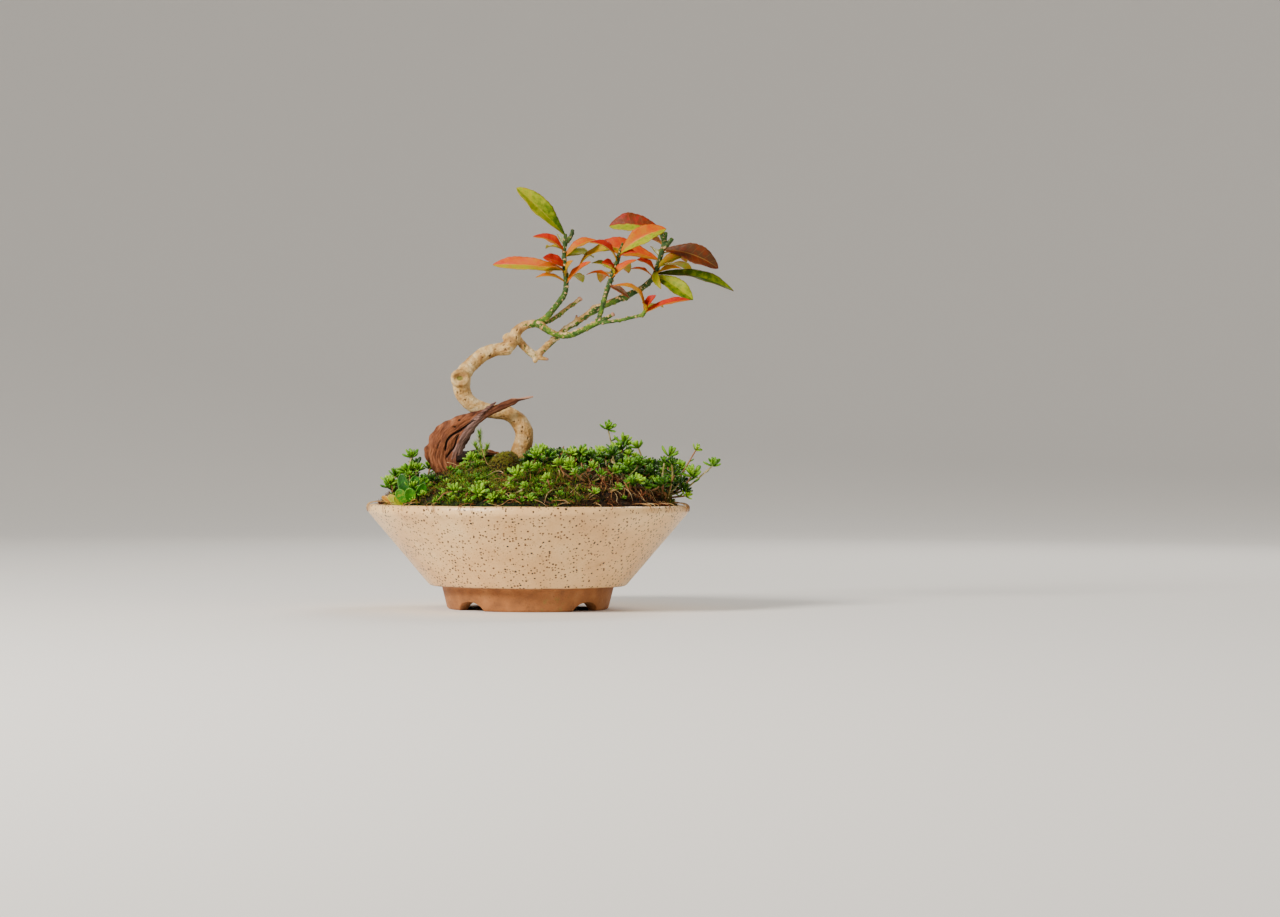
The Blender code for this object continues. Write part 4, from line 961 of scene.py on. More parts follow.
# %% Leafy shoots and their leaves
# The stem's route, its cut stubs, and for each leaf: the height it leaves the stem at, its tip, its
# width, its arch, the roll of its face to the front, and the ripeness of base, tip and other half
SHOOTS = {
    "spray_left": {
        "stem": [(22.4, -1, 198.6, 1.7), (22.7, -1, 200.4, 1.7), (22.9, -1, 206, 1.6),
                 (21.8, -1.4, 217, 1.5), (21.8, -1, 226.6, 1.3), (22.4, -0.6, 234.8, 1)],
        "stubs": [[(22.2, -0.8, 229, 1), (25.4, 0.4, 232.6, 1.2), (26.8, 0.8, 237.6, 1.2)]],
        "leaves": [
            (233.6, (-8.4, -5, 263.3), 13, 3, 62, (0.09, 0.31, 0.26)),
            (223, (2.2, -7, 232.6), 8, 4, 44, (0.6, 0.76, 0.44)),
            (219.6, (41.8, -1, 231.1), 8, 3.2, 38, (0.47, 0.58, 0.42)),
            (210.5, (5.2, -8, 213.6), 6.5, 2.2, 30, (0.46, 0.56, 0.4)),
            (212, (-23.5, 7, 215.8), 10, 3, 60, (0.44, 0.66, 0.33)),
            (215, (8.6, -10, 219.4), 8, 1, 62, (0.7, 0.76, 0.68)),
            (204, (3.8, -4, 207.2), 5.5, 2.8, 24, (0.4, 0.5, 0.36)),
            (203, (38.6, -10, 216.9), 7.5, 1.6, 44, (0.5, 0.62, 0.46)),
            (207.5, (27.4, -10.5, 217.6), 6.5, 1.2, 70, (0.36, 0.44, 0.32)),
            (220.5, (39.7, 17, 221.2), 9, 3, 34, (0.24, 0.3, 0.26)),
            (224, (9.6, 13, 226.6), 7, 2, 10, (0.3, 0.38, 0.32)),
            (227, (21, 26, 233), 9.5, 3, 0, (0.18, 0.3, 0.24)),
            (213.5, (10, 27, 211), 9.5, 3, 0, (0.32, 0.46, 0.38)),
            (206, (33, 24, 206), 9, 3, 0, (0.26, 0.36, 0.3)),
        ],
    },
    "spray_middle": {
        "stem": [(48.7, -3.6, 199.8, 1.6), (49.3, -3.4, 201.6, 1.6), (50.5, -3, 205.1, 1.6),
                 (52.6, -2.4, 211.5, 1.5), (54.7, -2, 216.9, 1.4), (56.2, -2, 222.3, 1.3),
                 (58.2, -2, 229.4, 0.7)],
        "stubs": [],
        "leaves": [
            (217, (37.7, -12, 228.8), 8.5, 4, 40, (0.66, 0.8, 0.36)),
            (222, (85.5, -7, 238), 12.5, 4, 66, (0.46, 0.56, 0.27)),
            (220, (67.4, -9, 222.6), 5.5, 1.6, 34, (0.64, 0.74, 0.6)),
            (206.5, (67.2, -7, 218.5), 6.5, 1.8, 44, (0.5, 0.62, 0.46)),
            (207, (35.6, 0, 209.4), 4.8, 2.4, 20, (0.5, 0.66, 0.48)),
            (213.5, (45.4, -10, 216.4), 6.5, 1, 55, (0.74, 0.8, 0.62)),
            (210, (50.4, -10.5, 214.6), 4.6, 0.8, 60, (0.34, 0.38, 0.32)),
            (224.5, (31, 5, 215.4), 9, 4.6, 34, (0.34, 0.42, 0.31)),
            (212, (38.6, 11, 217.4), 6.5, 1.6, 20, (0.26, 0.32, 0.28)),
            (214, (62, 24, 212), 9.5, 3, 0, (0.3, 0.42, 0.34)),
            (209.5, (44, 24, 206), 9, 3, 0, (0.32, 0.46, 0.38)),
            (202.5, (62.4, -9, 194.6), 4.2, 1.6, 50, (0.96, 1, 0.98)),
        ],
    },
    "spray_right": {
        "stem": [(74.2, 16.5, 205.4, 1.7), (75.5, 16.6, 206.5, 1.7), (78.5, 17.2, 210.5, 1.7),
                 (81.8, 17.8, 221.3, 1.6), (83.9, 18, 228.8, 1.5), (85.5, 18, 237.4, 1.2)],
        "stubs": [
            [(83.4, 18, 226, 1.2), (86.6, 16.6, 230, 1.4), (89.4, 15.8, 233.4, 1.4)],
            [(84.4, 18, 231, 1.1), (82.6, 16.4, 235.6, 1.2), (81.8, 15.6, 239, 1)],
        ],
        "leaves": [
            (236.4, (49.4, 21, 241.6), 14, 4.6, 56, (0.91, 0.89, 0.27)),
            (220, (42.3, 14.5, 230), 13, 2.6, 56, (0.57, 0.66, 0.45)),
            (212, (67.2, 8, 219.6), 7.5, 1.8, 44, (0.58, 0.77, 0.46)),
            (209, (63.4, 11, 214), 4.8, 2, 24, (0.48, 0.6, 0.46)),
            (209.5, (95.3, 8, 214.2), 6, 2.2, 30, (0.38, 0.45, 0.34)),
            (214.5, (98.6, 10, 222.3), 8.5, 2.4, 48, (0.35, 0.42, 0.32)),
            (226.4, (118.7, 14, 214.7), 13.5, 6.4, 60, (0.96, 0.98, 0.94)),
            (211, (128.7, 20, 200.7), 9.5, 4.6, 42, (0.12, 0.2, 0.1)),
            (210, (102.8, 9, 194.4), 10.5, 3, 60, (0.24, 0.26, 0.18)),
            (213, (82.4, 5, 201), 5, 2, 40, (0.28, 0.32, 0.28)),
            (221, (80, 46, 226), 10, 4, 0, (0.22, 0.36, 0.28)),
            (215, (103, 40, 212), 10, 4, 0, (0.26, 0.4, 0.32)),
            (229, (64, 42, 234), 10, 3, 0, (0.4, 0.6, 0.44)),
            (224, (99, 41, 220), 10, 3, 0, (0.3, 0.5, 0.38)),
        ],
    },
    "spray_low": {
        "stem": [(67.2, -12.2, 182.9, 1.1), (68.5, -12.4, 183.3, 1.1), (71.2, -12.8, 184.2, 1.4),
                 (72.8, -13, 187.2, 1)],
        "stubs": [],
        "leaves": [
            (185.2, (52.6, -17, 201.8), 7, 7.4, 30, (0.42, 0.47, 0.37)),
            (184.6, (100.7, -16, 193.1), 7, 2.4, 34, (0.64, 0.76, 0.44)),
            (186.4, (79.2, -16, 196), 6.5, 1, 60, (0.76, 0.8, 0.72)),
            (185.6, (70.6, -20, 191), 4.6, 1, 40, (0.42, 0.44, 0.4)),
            (186, (84, -2, 189), 7, 2.4, 0, (0.26, 0.36, 0.3)),
        ],
    },
}
LEAF_STEPS = 30
LEAF_COLUMNS = 10
LEAF_THICKNESS = 0.34
STALK_HALF = 0.5
TEETH = 11
TOOTH_DEPTH = 0.07
LEAF_FOLD = 0.44
# Side veins: how many, how much they slant and how high they stand
VEINS = 9.0
VEIN_SLANT = 0.9
VEIN_HEIGHT = 0.11


def stem_at(points, height):
    """The point of a stem's centre line at a height."""
    for low, high in zip(points, points[1:]):
        if height <= high[2]:
            share = (height - low[2]) / (high[2] - low[2])
            return Vector(low[:3]).lerp(Vector(high[:3]), share)
    return Vector(points[-1][:3])


def leaf_grid(base, tip, width, arch, roll, draw):
    """Points of one leaf: steps from base to tip, and columns from edge to edge."""
    way = tip - base
    length = way.length
    way = way.normalized()
    across = UP.cross(way).normalized()
    if across.y > 0:
        across = -across
    turned = [Matrix.Rotation(math.radians(side * roll), 3, way) @ across for side in (1, -1)]
    across = min(turned, key=lambda edge: edge.z)
    face = way.cross(across)
    if face.z < 0:
        face = -face
    phase = draw.uniform(0, math.tau)
    power = math.log(0.5) / math.log(0.45 + 0.012 * width)
    blunt = 0.92 - 0.022 * width
    sway = draw.uniform(-0.03, 0.03) * length
    points = []
    for i in range(LEAF_STEPS + 1):
        t = i / LEAF_STEPS
        half = width / 2 * math.sin(math.pi * t**power) ** blunt if 0 < i < LEAF_STEPS else 0.0
        tooth = (t * TEETH) % 1.0
        half *= 1.0 + TOOTH_DEPTH * (tooth - 0.5)
        half = max(half, STALK_HALF * (1 - t) ** 0.3 * (t < 0.5), 0.04)
        middle = base + way * length * t + face * arch * 4 * t * (1 - t)
        middle += across * sway * math.sin(math.pi * t)
        for j in range(LEAF_COLUMNS + 1):
            v = 2 * j / LEAF_COLUMNS - 1
            fold = LEAF_FOLD * half * abs(v) ** 1.2
            vein = VEIN_HEIGHT * math.sin(math.tau * (t * VEINS - abs(v) * VEIN_SLANT))
            vein *= (1 - t) * abs(v) * (half > 1.2)
            wave = 0.1 * half * v * math.sin(math.tau * 1.5 * t + phase)
            wave += 0.07 * half * v * v * math.sin(math.tau * 3 * t)
            points.append(middle + across * half * v + face * (fold + vein + wave))
    return points


# %% Build the leaves of each shoot
GRID = LEAF_COLUMNS + 1
LEAF_FACES = grid_faces(LEAF_STEPS + 1, GRID)
LEAF_T = np.repeat(np.arange(LEAF_STEPS + 1) / LEAF_STEPS, GRID)
LEAF_V = np.tile(np.linspace(-1, 1, GRID), LEAF_STEPS + 1)


def leafy(name, plan, draw):
    heap = Heap("t", "v", "ripe", "edge", "lot")
    for height, tip, width, arch, roll, ripe in plan:
        base = stem_at(SHOOTS[name]["stem"], height)
        points = leaf_grid(base, Vector(tip), width, arch, roll, draw)
        ripeness = ripe[0] + (ripe[1] - ripe[0]) * LEAF_T
        heap.add(points, LEAF_FACES, t=LEAF_T, v=LEAF_V, ripe=ripeness, edge=ripe[2], lot=draw.random())
    return thickened(heap.mesh(name + "_leaves"), LEAF_THICKNESS)


def leaf_finish():
    f = Finish("ripening leaf", 0.5, Specular_IOR_Level=0.14, **glow(0.08, 0.002))
    stops = [
        (0.0, (20, 46, 4)), (0.14, (58, 92, 4)), (0.27, (144, 156, 16)),
        (0.42, (178, 116, 4)), (0.56, (190, 80, 2)), (0.70, (182, 36, 8)),
        (0.82, (154, 16, 8)), (0.90, (112, 44, 14)), (1.0, (78, 50, 26)),
    ]
    blotch = f.waver(3.2, 4, -0.05, 0.05)
    body = f.ramp(f.plus(f.carried("ripe"), blotch), stops)
    rim = f.ramp(f.plus(f.carried("edge"), blotch), stops)
    out = f.size(f.carried("v"))
    half = f.plus(f.carried("v"), f.waver(1.6, 3, -0.08, 0.08))
    base = f.mix(f.range(half, -0.05, 0.1), body, rim)
    base = f.mix(f.range(out, 0.88, 1.0, 0.0, 0.35), base, (150, 70, 30))
    rib = f.range(out, 0.0, 0.06, 0.3, 0.0)
    ladder = f.minus(f.times(f.carried("t"), VEINS), f.times(out, VEIN_SLANT))
    ladder = f.size(f.minus(f.maths("FRACT", ladder), 0.5))
    vein = f.range(ladder, 0.0, 0.07, 0.08, 0.0)
    base = f.mix(f.maths("MAXIMUM", rib, vein), base, (208, 176, 80))
    spots = f.range(f.noise(1.3, 3), 0.64, 0.72, 0.0, 0.5)
    base = f.mix(f.times(spots, f.range(out, 0.5, 0.9)), base, (110, 64, 32))
    leather = f.bump(f.noise(0.8, 3), 0.1)
    return f.done(base, f.waver(2, 2, 0.4, 0.58), f.bump(vein, 0.2, leather))


leaf_material = leaf_finish()
for name, plan in SHOOTS.items():
    draw = random.Random(name)
    piece(name + "_leaves", leafy(name, plan["leaves"], draw), leaf_material, "leaf", name)
    routes = {"stem": plan["stem"], **{"stub_%d" % k: stub for k, stub in enumerate(plan["stubs"])}}
    stems = carved_wood(name, routes, {key: (1.0, 1.0) for key in routes}, TWIG_VOXEL, 5)
    carry(stems, "scar", np.zeros(len(stems.vertices)))
    piece(name + "_stem", stems, pale_bark, "leaf", name)

# %% [markdown]
# ## Weathered bark
#
# The slab is old bark, split along its fibres. It narrows to a neck and ends in a thin sliver. It is
# lofted through oval sections like the hull of a boat. Its large splits are lines drawn in the front view
# and pressed in, its fine grain is noise drawn out along the slab, so that it follows the bend, and a
# raised ridge runs up its right side.

# %% Weathered bark, its sections
# The middle of each section, its half width, its half thickness and the lean of the slab there
BARK_SECTIONS = [
    (-47, -9, 74, 4.6, 3.4, 4), (-49.6, -9.4, 84, 8.4, 3.8, 6), (-52.4, -9.6, 93, 12.2, 3.8, 10),
    (-51.4, -9.8, 100.6, 12, 4.4, 18), (-47.8, -10, 107.8, 10.4, 4, 30),
    (-41.8, -10.2, 113.4, 8.2, 3.6, 42), (-35.2, -10.6, 117.8, 5.4, 3.2, 52),
    (-28.4, -11, 121.2, 3, 2.6, 60), (-19, -11.2, 125.3, 2.3, 1.8, 64),
    (-12.6, -11.2, 128.2, 2.3, 1.5, 70), (-8.6, -11.2, 129.8, 2, 1.2, 74),
    (-6, -11.1, 130.6, 1, 0.9, 80), (-2, -11, 131.5, 0.9, 0.8, 80), (3, -10.8, 132.6, 0.5, 0.5, 84),
]
BARK_SPUR = [(-50, -9.6, 93, 3.8), (-38, -8.8, 95.2, 3.4), (-27, -8, 97.2, 2.4),
             (-18.4, -7.4, 97.6, 0.6)]
BARK_STEPS = 13
BARK_AROUND = 190
# Each grain: its depth, how fine it is across and along the slab, and its seed
GRAINS = ((0.4, 3.2, 4, 0.0), (0.3, 10, 8, 2.0), (0.22, 30, 14, 5.0))
RIDGE_HALF = 3.5
RIDGE_HEIGHT = 1.1
HOLE_DEPTH = 1.6
# Splits down the face as they are seen from the front: their route in x and z, their depth and width
SPLITS = [
    ([(-51.4, 98.4), (-51, 101), (-50.4, 104.5), (-47.4, 108.2), (-42.2, 111.3), (-35.9, 116),
      (-31.8, 119.1)], 2, 0.6),
    ([(-50.5, 94), (-49.5, 96.2), (-45.8, 100.9), (-44.3, 106.1), (-42.8, 109)], 1.6, 0.55),
    ([(-41, 90), (-40.4, 97), (-38, 104), (-33.3, 111.3), (-28.7, 119)], 1.8, 0.6),
    ([(-56.8, 97), (-55.7, 101.9), (-53.9, 105.4)], 0.9, 0.5),
    ([(-61, 93), (-59.6, 98.4), (-56.6, 104.6), (-51, 111)], 0.5, 0.45),
]
SLAB_HOLES = [(-42.7, 117.6), (-45.6, 113.4)]
RIDGE = [(-46, 90), (-44.6, 96), (-41.4, 101.9), (-38.8, 108), (-35.2, 113.4), (-30, 119.6),
         (-26, 123)]
RIDGE_TIP = [(-34, -12.6, 117.6, 1.3), (-28.6, -13.4, 122, 1.3), (-24, -13.4, 126, 1),
             (-20, -13.2, 129, 0.35)]


def near_line(x, z, line):
    """How far places of the front view are from a line, and 0 to 1 from its ends to its middle."""
    line = smoothed(line, 8)
    gaps = np.hypot(x[..., None] - line[:, 0], z[..., None] - line[:, 1])
    share = (gaps.argmin(axis=-1) + 0.5) / len(line)
    return gaps.min(axis=-1), np.sin(math.pi * share) ** 0.5


def bark_mesh():
    sections = smoothed(BARK_SECTIONS, BARK_STEPS)
    reach = lengths(sections)
    s = (reach / reach[-1])[:, None]
    a = np.arange(BARK_AROUND)[None] * math.tau / BARK_AROUND
    x, y, z, half, thick, lean = [column[:, None] for column in sections.T]
    tilt = np.radians(lean)
    u, front = np.cos(a), np.clip(-np.sin(a), 0, 1) ** 0.3
    bow = np.sign(np.sin(a)) * np.abs(np.sin(a)) ** 0.5
    flat = [(p, q, r) for p in s[:, 0] for q, r in zip(u[0], np.sin(a[0]))]

    def grain(across, along, seed):
        found = [noise.noise(Vector((q * across + p * 2, r * 0.7 + seed, p * along))) for p, q, r in flat]
        return np.array(found).reshape(len(s), BARK_AROUND)

    ragged = 1.0 + 0.15 * grain(1.5, 26, 4.0) * np.abs(u) ** 3
    wide = half * u * ragged
    seen_x, seen_z = x + np.cos(tilt) * wide, z - np.sin(tilt) * wide
    cut = np.zeros_like(wide)
    for line, deep, width in SPLITS:
        gap, middle = near_line(seen_x, seen_z, line)
        cut += deep * middle * np.exp(-((gap / width) ** 2))
    for hole_x, hole_z in SLAB_HOLES:
        cut += HOLE_DEPTH * np.exp(-(((seen_x - hole_x) / 0.8) ** 2) - ((seen_z - hole_z) / 0.5) ** 2)
    gap, middle = near_line(seen_x, seen_z, RIDGE)
    ridge = np.clip((RIDGE_HALF - gap) / 1.4, 0, 1) * middle
    depth = sum(deep * grain(across, along, seed) for deep, across, along, seed in GRAINS)
    depth = (depth + front * (RIDGE_HEIGHT * ridge - cut)) * np.clip(half / 9, 0.25, 1)
    out = (thick + depth) * bow + 0.01 * wide**2 - 0.05 * half
    points = np.stack([seen_x, y + 0.12 * wide + out, seen_z], axis=-1)
    faces = grid_faces(len(s), BARK_AROUND, ring=True)
    faces.append(tuple(reversed(range(BARK_AROUND))))
    faces.append(tuple(range((len(s) - 1) * BARK_AROUND, len(s) * BARK_AROUND)))
    # The groove value is painted shade: it darkens the splits, the holes and the sunken grain of the slab.
    heap = Heap("groove", "crest", "across", "along")
    heap.add(
        points.reshape(-1, 3),
        faces,
        groove=np.clip(cut * front * 0.75 - depth * 0.3, 0, 1).reshape(1, -1),
        crest=(ridge * front).reshape(1, -1),
        across=(wide + 40 * np.sin(a) * (thick / 40)).reshape(1, -1),
        along=np.broadcast_to(reach[:, None], wide.shape).reshape(1, -1),
    )
    # The spur gets painted shade towards the slab beside it, and both tubes are darkened where their noise
    # is low.
    for route, crest, hidden in ((BARK_SPUR, 0.35, 0.09), (RIDGE_TIP, 0.8, 0.0)):
        points, faces = tube(smoothed(route, 8), 20)
        jitter = noise_at(points * (0.25, 1.2, 1.2))[:, None]
        points = points + jitter * (0.0, 0.8, 0.8)
        groove = np.clip(-jitter.T * 1.4 + hidden * (-20 - points[:, 0]), 0, 1)
        flow = {"across": points[:, 2][None], "along": points[:, 0][None]}
        heap.add(points, faces, groove=groove * 0.8, crest=crest, **flow)
    return heap.mesh("bark_slab")


def weathered_finish():
    f = Finish("weathered bark", 0.8, Specular_IOR_Level=0.25)
    fibres = f.noise(1.3, 5, f.along("across", "along", 0.13), 0.65)
    base = f.ramp(
        fibres,
        [(0.32, (44, 22, 13)), (0.44, (104, 56, 31)), (0.56, (142, 84, 50)),
         (0.74, (184, 128, 90))],
    )
    base = f.mix(f.range(f.noise(7, 3), 0.5, 0.7, 0.0, 0.5), base, (104, 62, 44))
    grey = f.plus(f.carried("crest"), f.range(f.noise(3, 3), 0.4, 0.7, -0.1, 0.3))
    grey = f.range(grey, 0.3, 0.8, 0.0, 0.85)
    base = f.mix(grey, base, f.ramp(fibres, [(0.35, (88, 62, 56)), (0.62, (164, 130, 120))]))
    sliver = f.range(f.sides()["Z"], 0.1185, 0.1235, 0.0, 0.55)
    base = f.mix(sliver, base, (66, 30, 20))
    tips = f.range(f.sides()["Z"], 0.1306, 0.132, 0.0, 0.8)
    base = f.mix(tips, base, (206, 160, 134))
    # Painted shade in the splits, holes and sunken grain, and on the spur by the slab.
    base = f.mix(f.range(f.carried("groove"), 0.3, 0.75, 0.0, 0.95), base, (20, 11, 7))
    relief = f.plus(fibres, f.times(f.noise(0.6, 3), 0.35))
    return f.done(base, f.range(fibres, 0.3, 0.7, 0.9, 0.68), f.bump(relief, 0.8))


piece("bark_slab", bark_mesh(), weathered_finish(), "weathered_bark", "bark")

# %% [markdown]
# ## Soil and moss
#
# The moss is a mat of fine shoots over a dome of soil. Its body is a sheet of small rings that follows the
# dome, with tufts raised by crossing waves. The shoots are thin blades in little stars, thousands of them,
# which is what catches the light at the edge of real moss. Each star has a tint of its own: green in the
# middle, olive at the front, and brown and dry towards the right rim.

# %% The mat of moss
SOIL_RADIUS = 93.0
SOIL_EDGE_Z = 60.8
SOIL_RISE = 27.0
MOSS_LIFT = 0.3
MOSS_THICKNESS = 4.6
MOSS_RELIEF = 1.2
MOSS_RINGS = 80
MOSS_AROUND = 260
# Tufts: how wide they are, and how high they stand
MOSS_TUFTS = ((7.0, 1.5), (2.8, 1.1))
# Where the ground is brown, the right front rim, the left rim and under the bark: middle, reach, share
BROWN_SPOTS = (
    ((62, -52), (38, 38), 1.1),
    ((-92, -10), (14, 24), 0.8),
    ((-50, -22), (14, 16), 0.8),
)
BROWN_ANYWHERE = 0.2
BROWN_PATCHES = 0.8


def soil_top(x, y):
    share = np.minimum(np.hypot(x, y) / SOIL_RADIUS, 1.0)
    return SOIL_EDGE_Z + SOIL_RISE * (1.0 - share**2.2)


def moss_top(x, y):
    """Height of the moss over a point of the plan, without its finest relief."""
    share = np.hypot(x, y) / SOIL_RADIUS
    roll = np.maximum(0.0, (share - 0.9) / 0.1)
    waves = (
        np.sin(0.36 * x + 0.9) * np.cos(0.31 * y - 0.4)
        + 0.7 * np.sin(0.23 * x - 0.41 * y + 2.1)
        + 0.5 * np.sin(0.52 * y + 0.17 * x)
    )
    body = soil_top(x, y) + MOSS_LIFT + MOSS_THICKNESS * (1.0 - 0.35 * roll**2)
    return body + MOSS_RELIEF * waves / 1.6


def polar(reach, angle):
    """The place of the plan so far from the middle, at an angle in radians."""
    return reach * math.cos(angle), reach * math.sin(angle)


def pulled_in(x, y, reach):
    """The same place of the plan, or the one on the circle of a reach if it lies beyond."""
    beyond = max(math.hypot(x, y) / reach, 1.0)
    return x / beyond, y / beyond


def away(x, y, middle):
    """How far a place of the plan is from the middle of a thing."""
    return math.hypot(x - middle[0], y - middle[1])


def over_moss(x, y, lift):
    """A place so far above the moss."""
    return Vector((x, y, float(moss_top(x, y)) + lift))


def dryness(x, y):
    """How brown the ground is: in its brown spots, and in patches anywhere."""
    brown = BROWN_ANYWHERE
    for (spot_x, spot_y), (wide, deep), share in BROWN_SPOTS:
        brown += share * math.exp(-(((x - spot_x) / wide) ** 2) - ((y - spot_y) / deep) ** 2)
    patch = noise.noise(Vector((x * 0.06, y * 0.06, 3.1)))
    return min(1.0, max(0.0, brown + BROWN_PATCHES * patch))


radii = SOIL_RADIUS * (np.arange(1, MOSS_RINGS + 1) / MOSS_RINGS)
angles = np.arange(MOSS_AROUND) * math.tau / MOSS_AROUND
plan_x = (radii[:, None] * np.cos(angles)).reshape(-1)
plan_y = (radii[:, None] * np.sin(angles)).reshape(-1)
top_z = moss_top(plan_x, plan_y)
for tuft, lift in MOSS_TUFTS:
    top_z += lift * noise_at(np.column_stack([plan_x / tuft, plan_y / tuft, np.full_like(plan_x, tuft)]))
edge_x, edge_y = plan_x[-MOSS_AROUND:], plan_y[-MOSS_AROUND:]
moss_points = np.vstack(
    [
        [[0.0, 0.0, float(moss_top(0.0, 0.0))]],
        np.column_stack([plan_x, plan_y, top_z]),
        np.column_stack([edge_x, edge_y, soil_top(edge_x, edge_y) + MOSS_LIFT]),
        [[0.0, 0.0, float(soil_top(0.0, 0.0)) + MOSS_LIFT]],
    ]
)
heap = Heap("dry")
dry = np.array([dryness(x, y) for x, y in moss_points[:, :2]])
heap.add(moss_points, mound_faces(MOSS_RINGS + 1, MOSS_AROUND), dry=dry[None])


def moss_finish():
    f = Finish("moss", 0.9, Specular_IOR_Level=0.2)
    green = f.ramp(f.noise(2.0, 5), [(0.35, (7, 10, 4)), (0.54, (20, 32, 8)), (0.76, (56, 76, 18))])
    brown = f.ramp(f.noise(1.4, 5), [(0.35, (14, 9, 6)), (0.55, (44, 28, 15)), (0.78, (92, 64, 34))])
    share = f.plus(f.carried("dry"), f.waver(3, 4, -0.35, 0.35))
    base = f.mix(f.range(share, 0.3, 0.8), green, brown)
    return f.done(base, None, f.bump(f.noise(1.1, 5), 1.2))


piece("moss_mat", heap.mesh("moss_mat"), moss_finish(), "moss", "moss")

# %% Shoots of moss
STARS = 5200
STAR_SIZES = (2.0, 4.4)
BLADE_WIDTH = 0.62
FOLIAGE = 800
CUSHION_X = -13.4
BLADES = 6
BLADE_SHAPE = np.array([(0.5, 0.0, -0.12), (-0.5, 0.0, -0.12), (0.0, 0.28, -0.05), (0.0, 0.06, 1.0)])
BLADE_FACES = [(0, 1, 2), (0, 3, 1), (1, 3, 2), (2, 3, 0)]


def stars(seed, centres, lean, size, width, tints, heap, spread=(0.25, 1.25)):
    """Stars of blades at the centres. Each blade leans out by its own angle and has its own length."""
    draw = np.random.default_rng(seed)
    count = len(centres) * BLADES
    where = np.repeat(centres, BLADES, axis=0)
    turn = draw.uniform(0, math.tau, count)
    tip = draw.uniform(*spread, count)
    length = np.repeat(size, BLADES) * draw.uniform(0.7, 1.25, count)
    out = np.column_stack([np.cos(turn), np.sin(turn), np.zeros(count)])
    side = np.column_stack([-np.sin(turn), np.cos(turn), np.zeros(count)])
    along = out * np.sin(tip)[:, None] + np.array([0.0, 0.0, 1.0]) * np.cos(tip)[:, None]
    along += np.repeat(lean, BLADES, axis=0)
    along /= np.linalg.norm(along, axis=1)[:, None]
    over = np.cross(side, along)
    shape = BLADE_SHAPE[None] * np.ones((count, 1, 1))
    points = (
        side[:, None] * (shape[..., :1] * width)
        + over[:, None] * (shape[..., 1:2] * width)
        + along[:, None] * (shape[..., 2:] * length[:, None, None])
        + where[:, None]
    )
    rise = np.tile(BLADE_SHAPE[:, 2], (count, 1))
    heap.add(points, BLADE_FACES, tint=np.repeat(tints, BLADES), rise=rise)


draw = np.random.default_rng(3)
reach = SOIL_RADIUS * np.sqrt(draw.uniform(0.0, 1.0, STARS))
turn = draw.uniform(0, math.tau, STARS)
x, y = reach * np.cos(turn), reach * np.sin(turn)
centres = np.column_stack([x, y, moss_top(x, y)])
tints = np.array([dryness(a, b) for a, b in zip(x, y)]) + draw.normal(0, 0.18, STARS)
lean = np.column_stack([x, y, np.zeros(STARS)]) / SOIL_RADIUS * 0.35
heap = Heap("tint", "rise")
stars(4, centres, lean, draw.uniform(*STAR_SIZES, STARS), BLADE_WIDTH, tints, heap)
x, y = draw.normal(-8, 26, FOLIAGE), draw.uniform(-86, -46, FOLIAGE)
clear = (np.hypot(x, y) < SOIL_RADIUS - 3) & ((np.abs(x - CUSHION_X) > 11) | (y < -66))
centres = np.column_stack([x, y, moss_top(x, y) + 0.4])[clear]
count = len(centres)
lean = np.tile((0.0, -0.35, 0.1), (count, 1))
stars(6, centres, lean, draw.uniform(2.4, 5.0, count), 0.95, draw.uniform(-0.1, 0.66, count), heap)


def shoot_finish(name, fresh, old, dry):
    """Blades with painted shade towards their foot, whose tint runs from fresh green to dry brown."""
    f = Finish(name, 0.6, Specular_IOR_Level=0.15, **glow(0.1, 0.001))
    shade = f.plus(f.carried("tint"), f.waver(1.8, 2, -0.12, 0.12))
    base = f.ramp(shade, [(0.05, fresh), (0.42, old), (0.78, dry)])
    # Painted shade: blades turn almost black towards their foot, where they shade each other.
    base = f.mix(f.range(f.carried("rise"), 0.0, 0.95, 0.95, 0.0), base, (9, 12, 4))
    return f.done(base, f.waver(1.2, 2, 0.55, 0.75))


moss_shoots = shoot_finish("moss shoots", (84, 138, 22), (82, 94, 20), (78, 50, 24))
piece("moss_shoots", heap.mesh("moss_shoots"), moss_shoots, "moss")

# %% [markdown]
# ## Stonecrop
#
# Stonecrop grows in dense rosettes of fat, spoon-shaped leaves on reddish stems that creep over the moss.
# One leaf is lofted as a small body, and every rosette turns its leaves by the golden angle: the outer ones
# are long and spread, the inner ones short and upright. Heads that show in the picture are listed one by
# one.
# The rest of each plant is drawn at random, so that the ground is covered on all sides.

# %% Stonecrop, where it grows
# Each plant: where it is rooted, its heads, how far they spread and how tall it is
PLANTS = {
    "sedum_front": (8, -42, 5, 9, 11),
    "sedum_front_right": (38, -54, 5, 9.5, 12),
    "sedum_right_front": (60, -27, 5, 10, 16),
    "sedum_right": (83, -4, 4, 9, 16),
    "sedum_centre_right": (28, -18, 5, 9.5, 13),
    "sedum_centre": (20, 12, 4, 8, 12),
    "sedum_tall": (54, 10, 4, 9, 21),
    "sedum_right_back": (68, 42, 4, 10, 14),
    "sedum_back": (28, 46, 5, 10, 13),
    "sedum_back_middle": (2, 74, 3, 9, 11),
    "sedum_back_left": (-38, 54, 4, 10, 12),
    "sedum_left_back": (-72, 26, 3, 9, 12),
    "sedum_left": (-80, -24, 3, 6, 12),
    "sedum_front_left": (-28, -62, 4, 9, 8),
    "sedum_by_bark": (-39, -32, 2, 6, 11),
}
LONG_SPRIGS = {
    "sedum_right": (115.5, -12, 89.5),
    "sedum_tall": (49.5, 6, 112),
    "sedum_left": (-71.5, -22, 94),
}
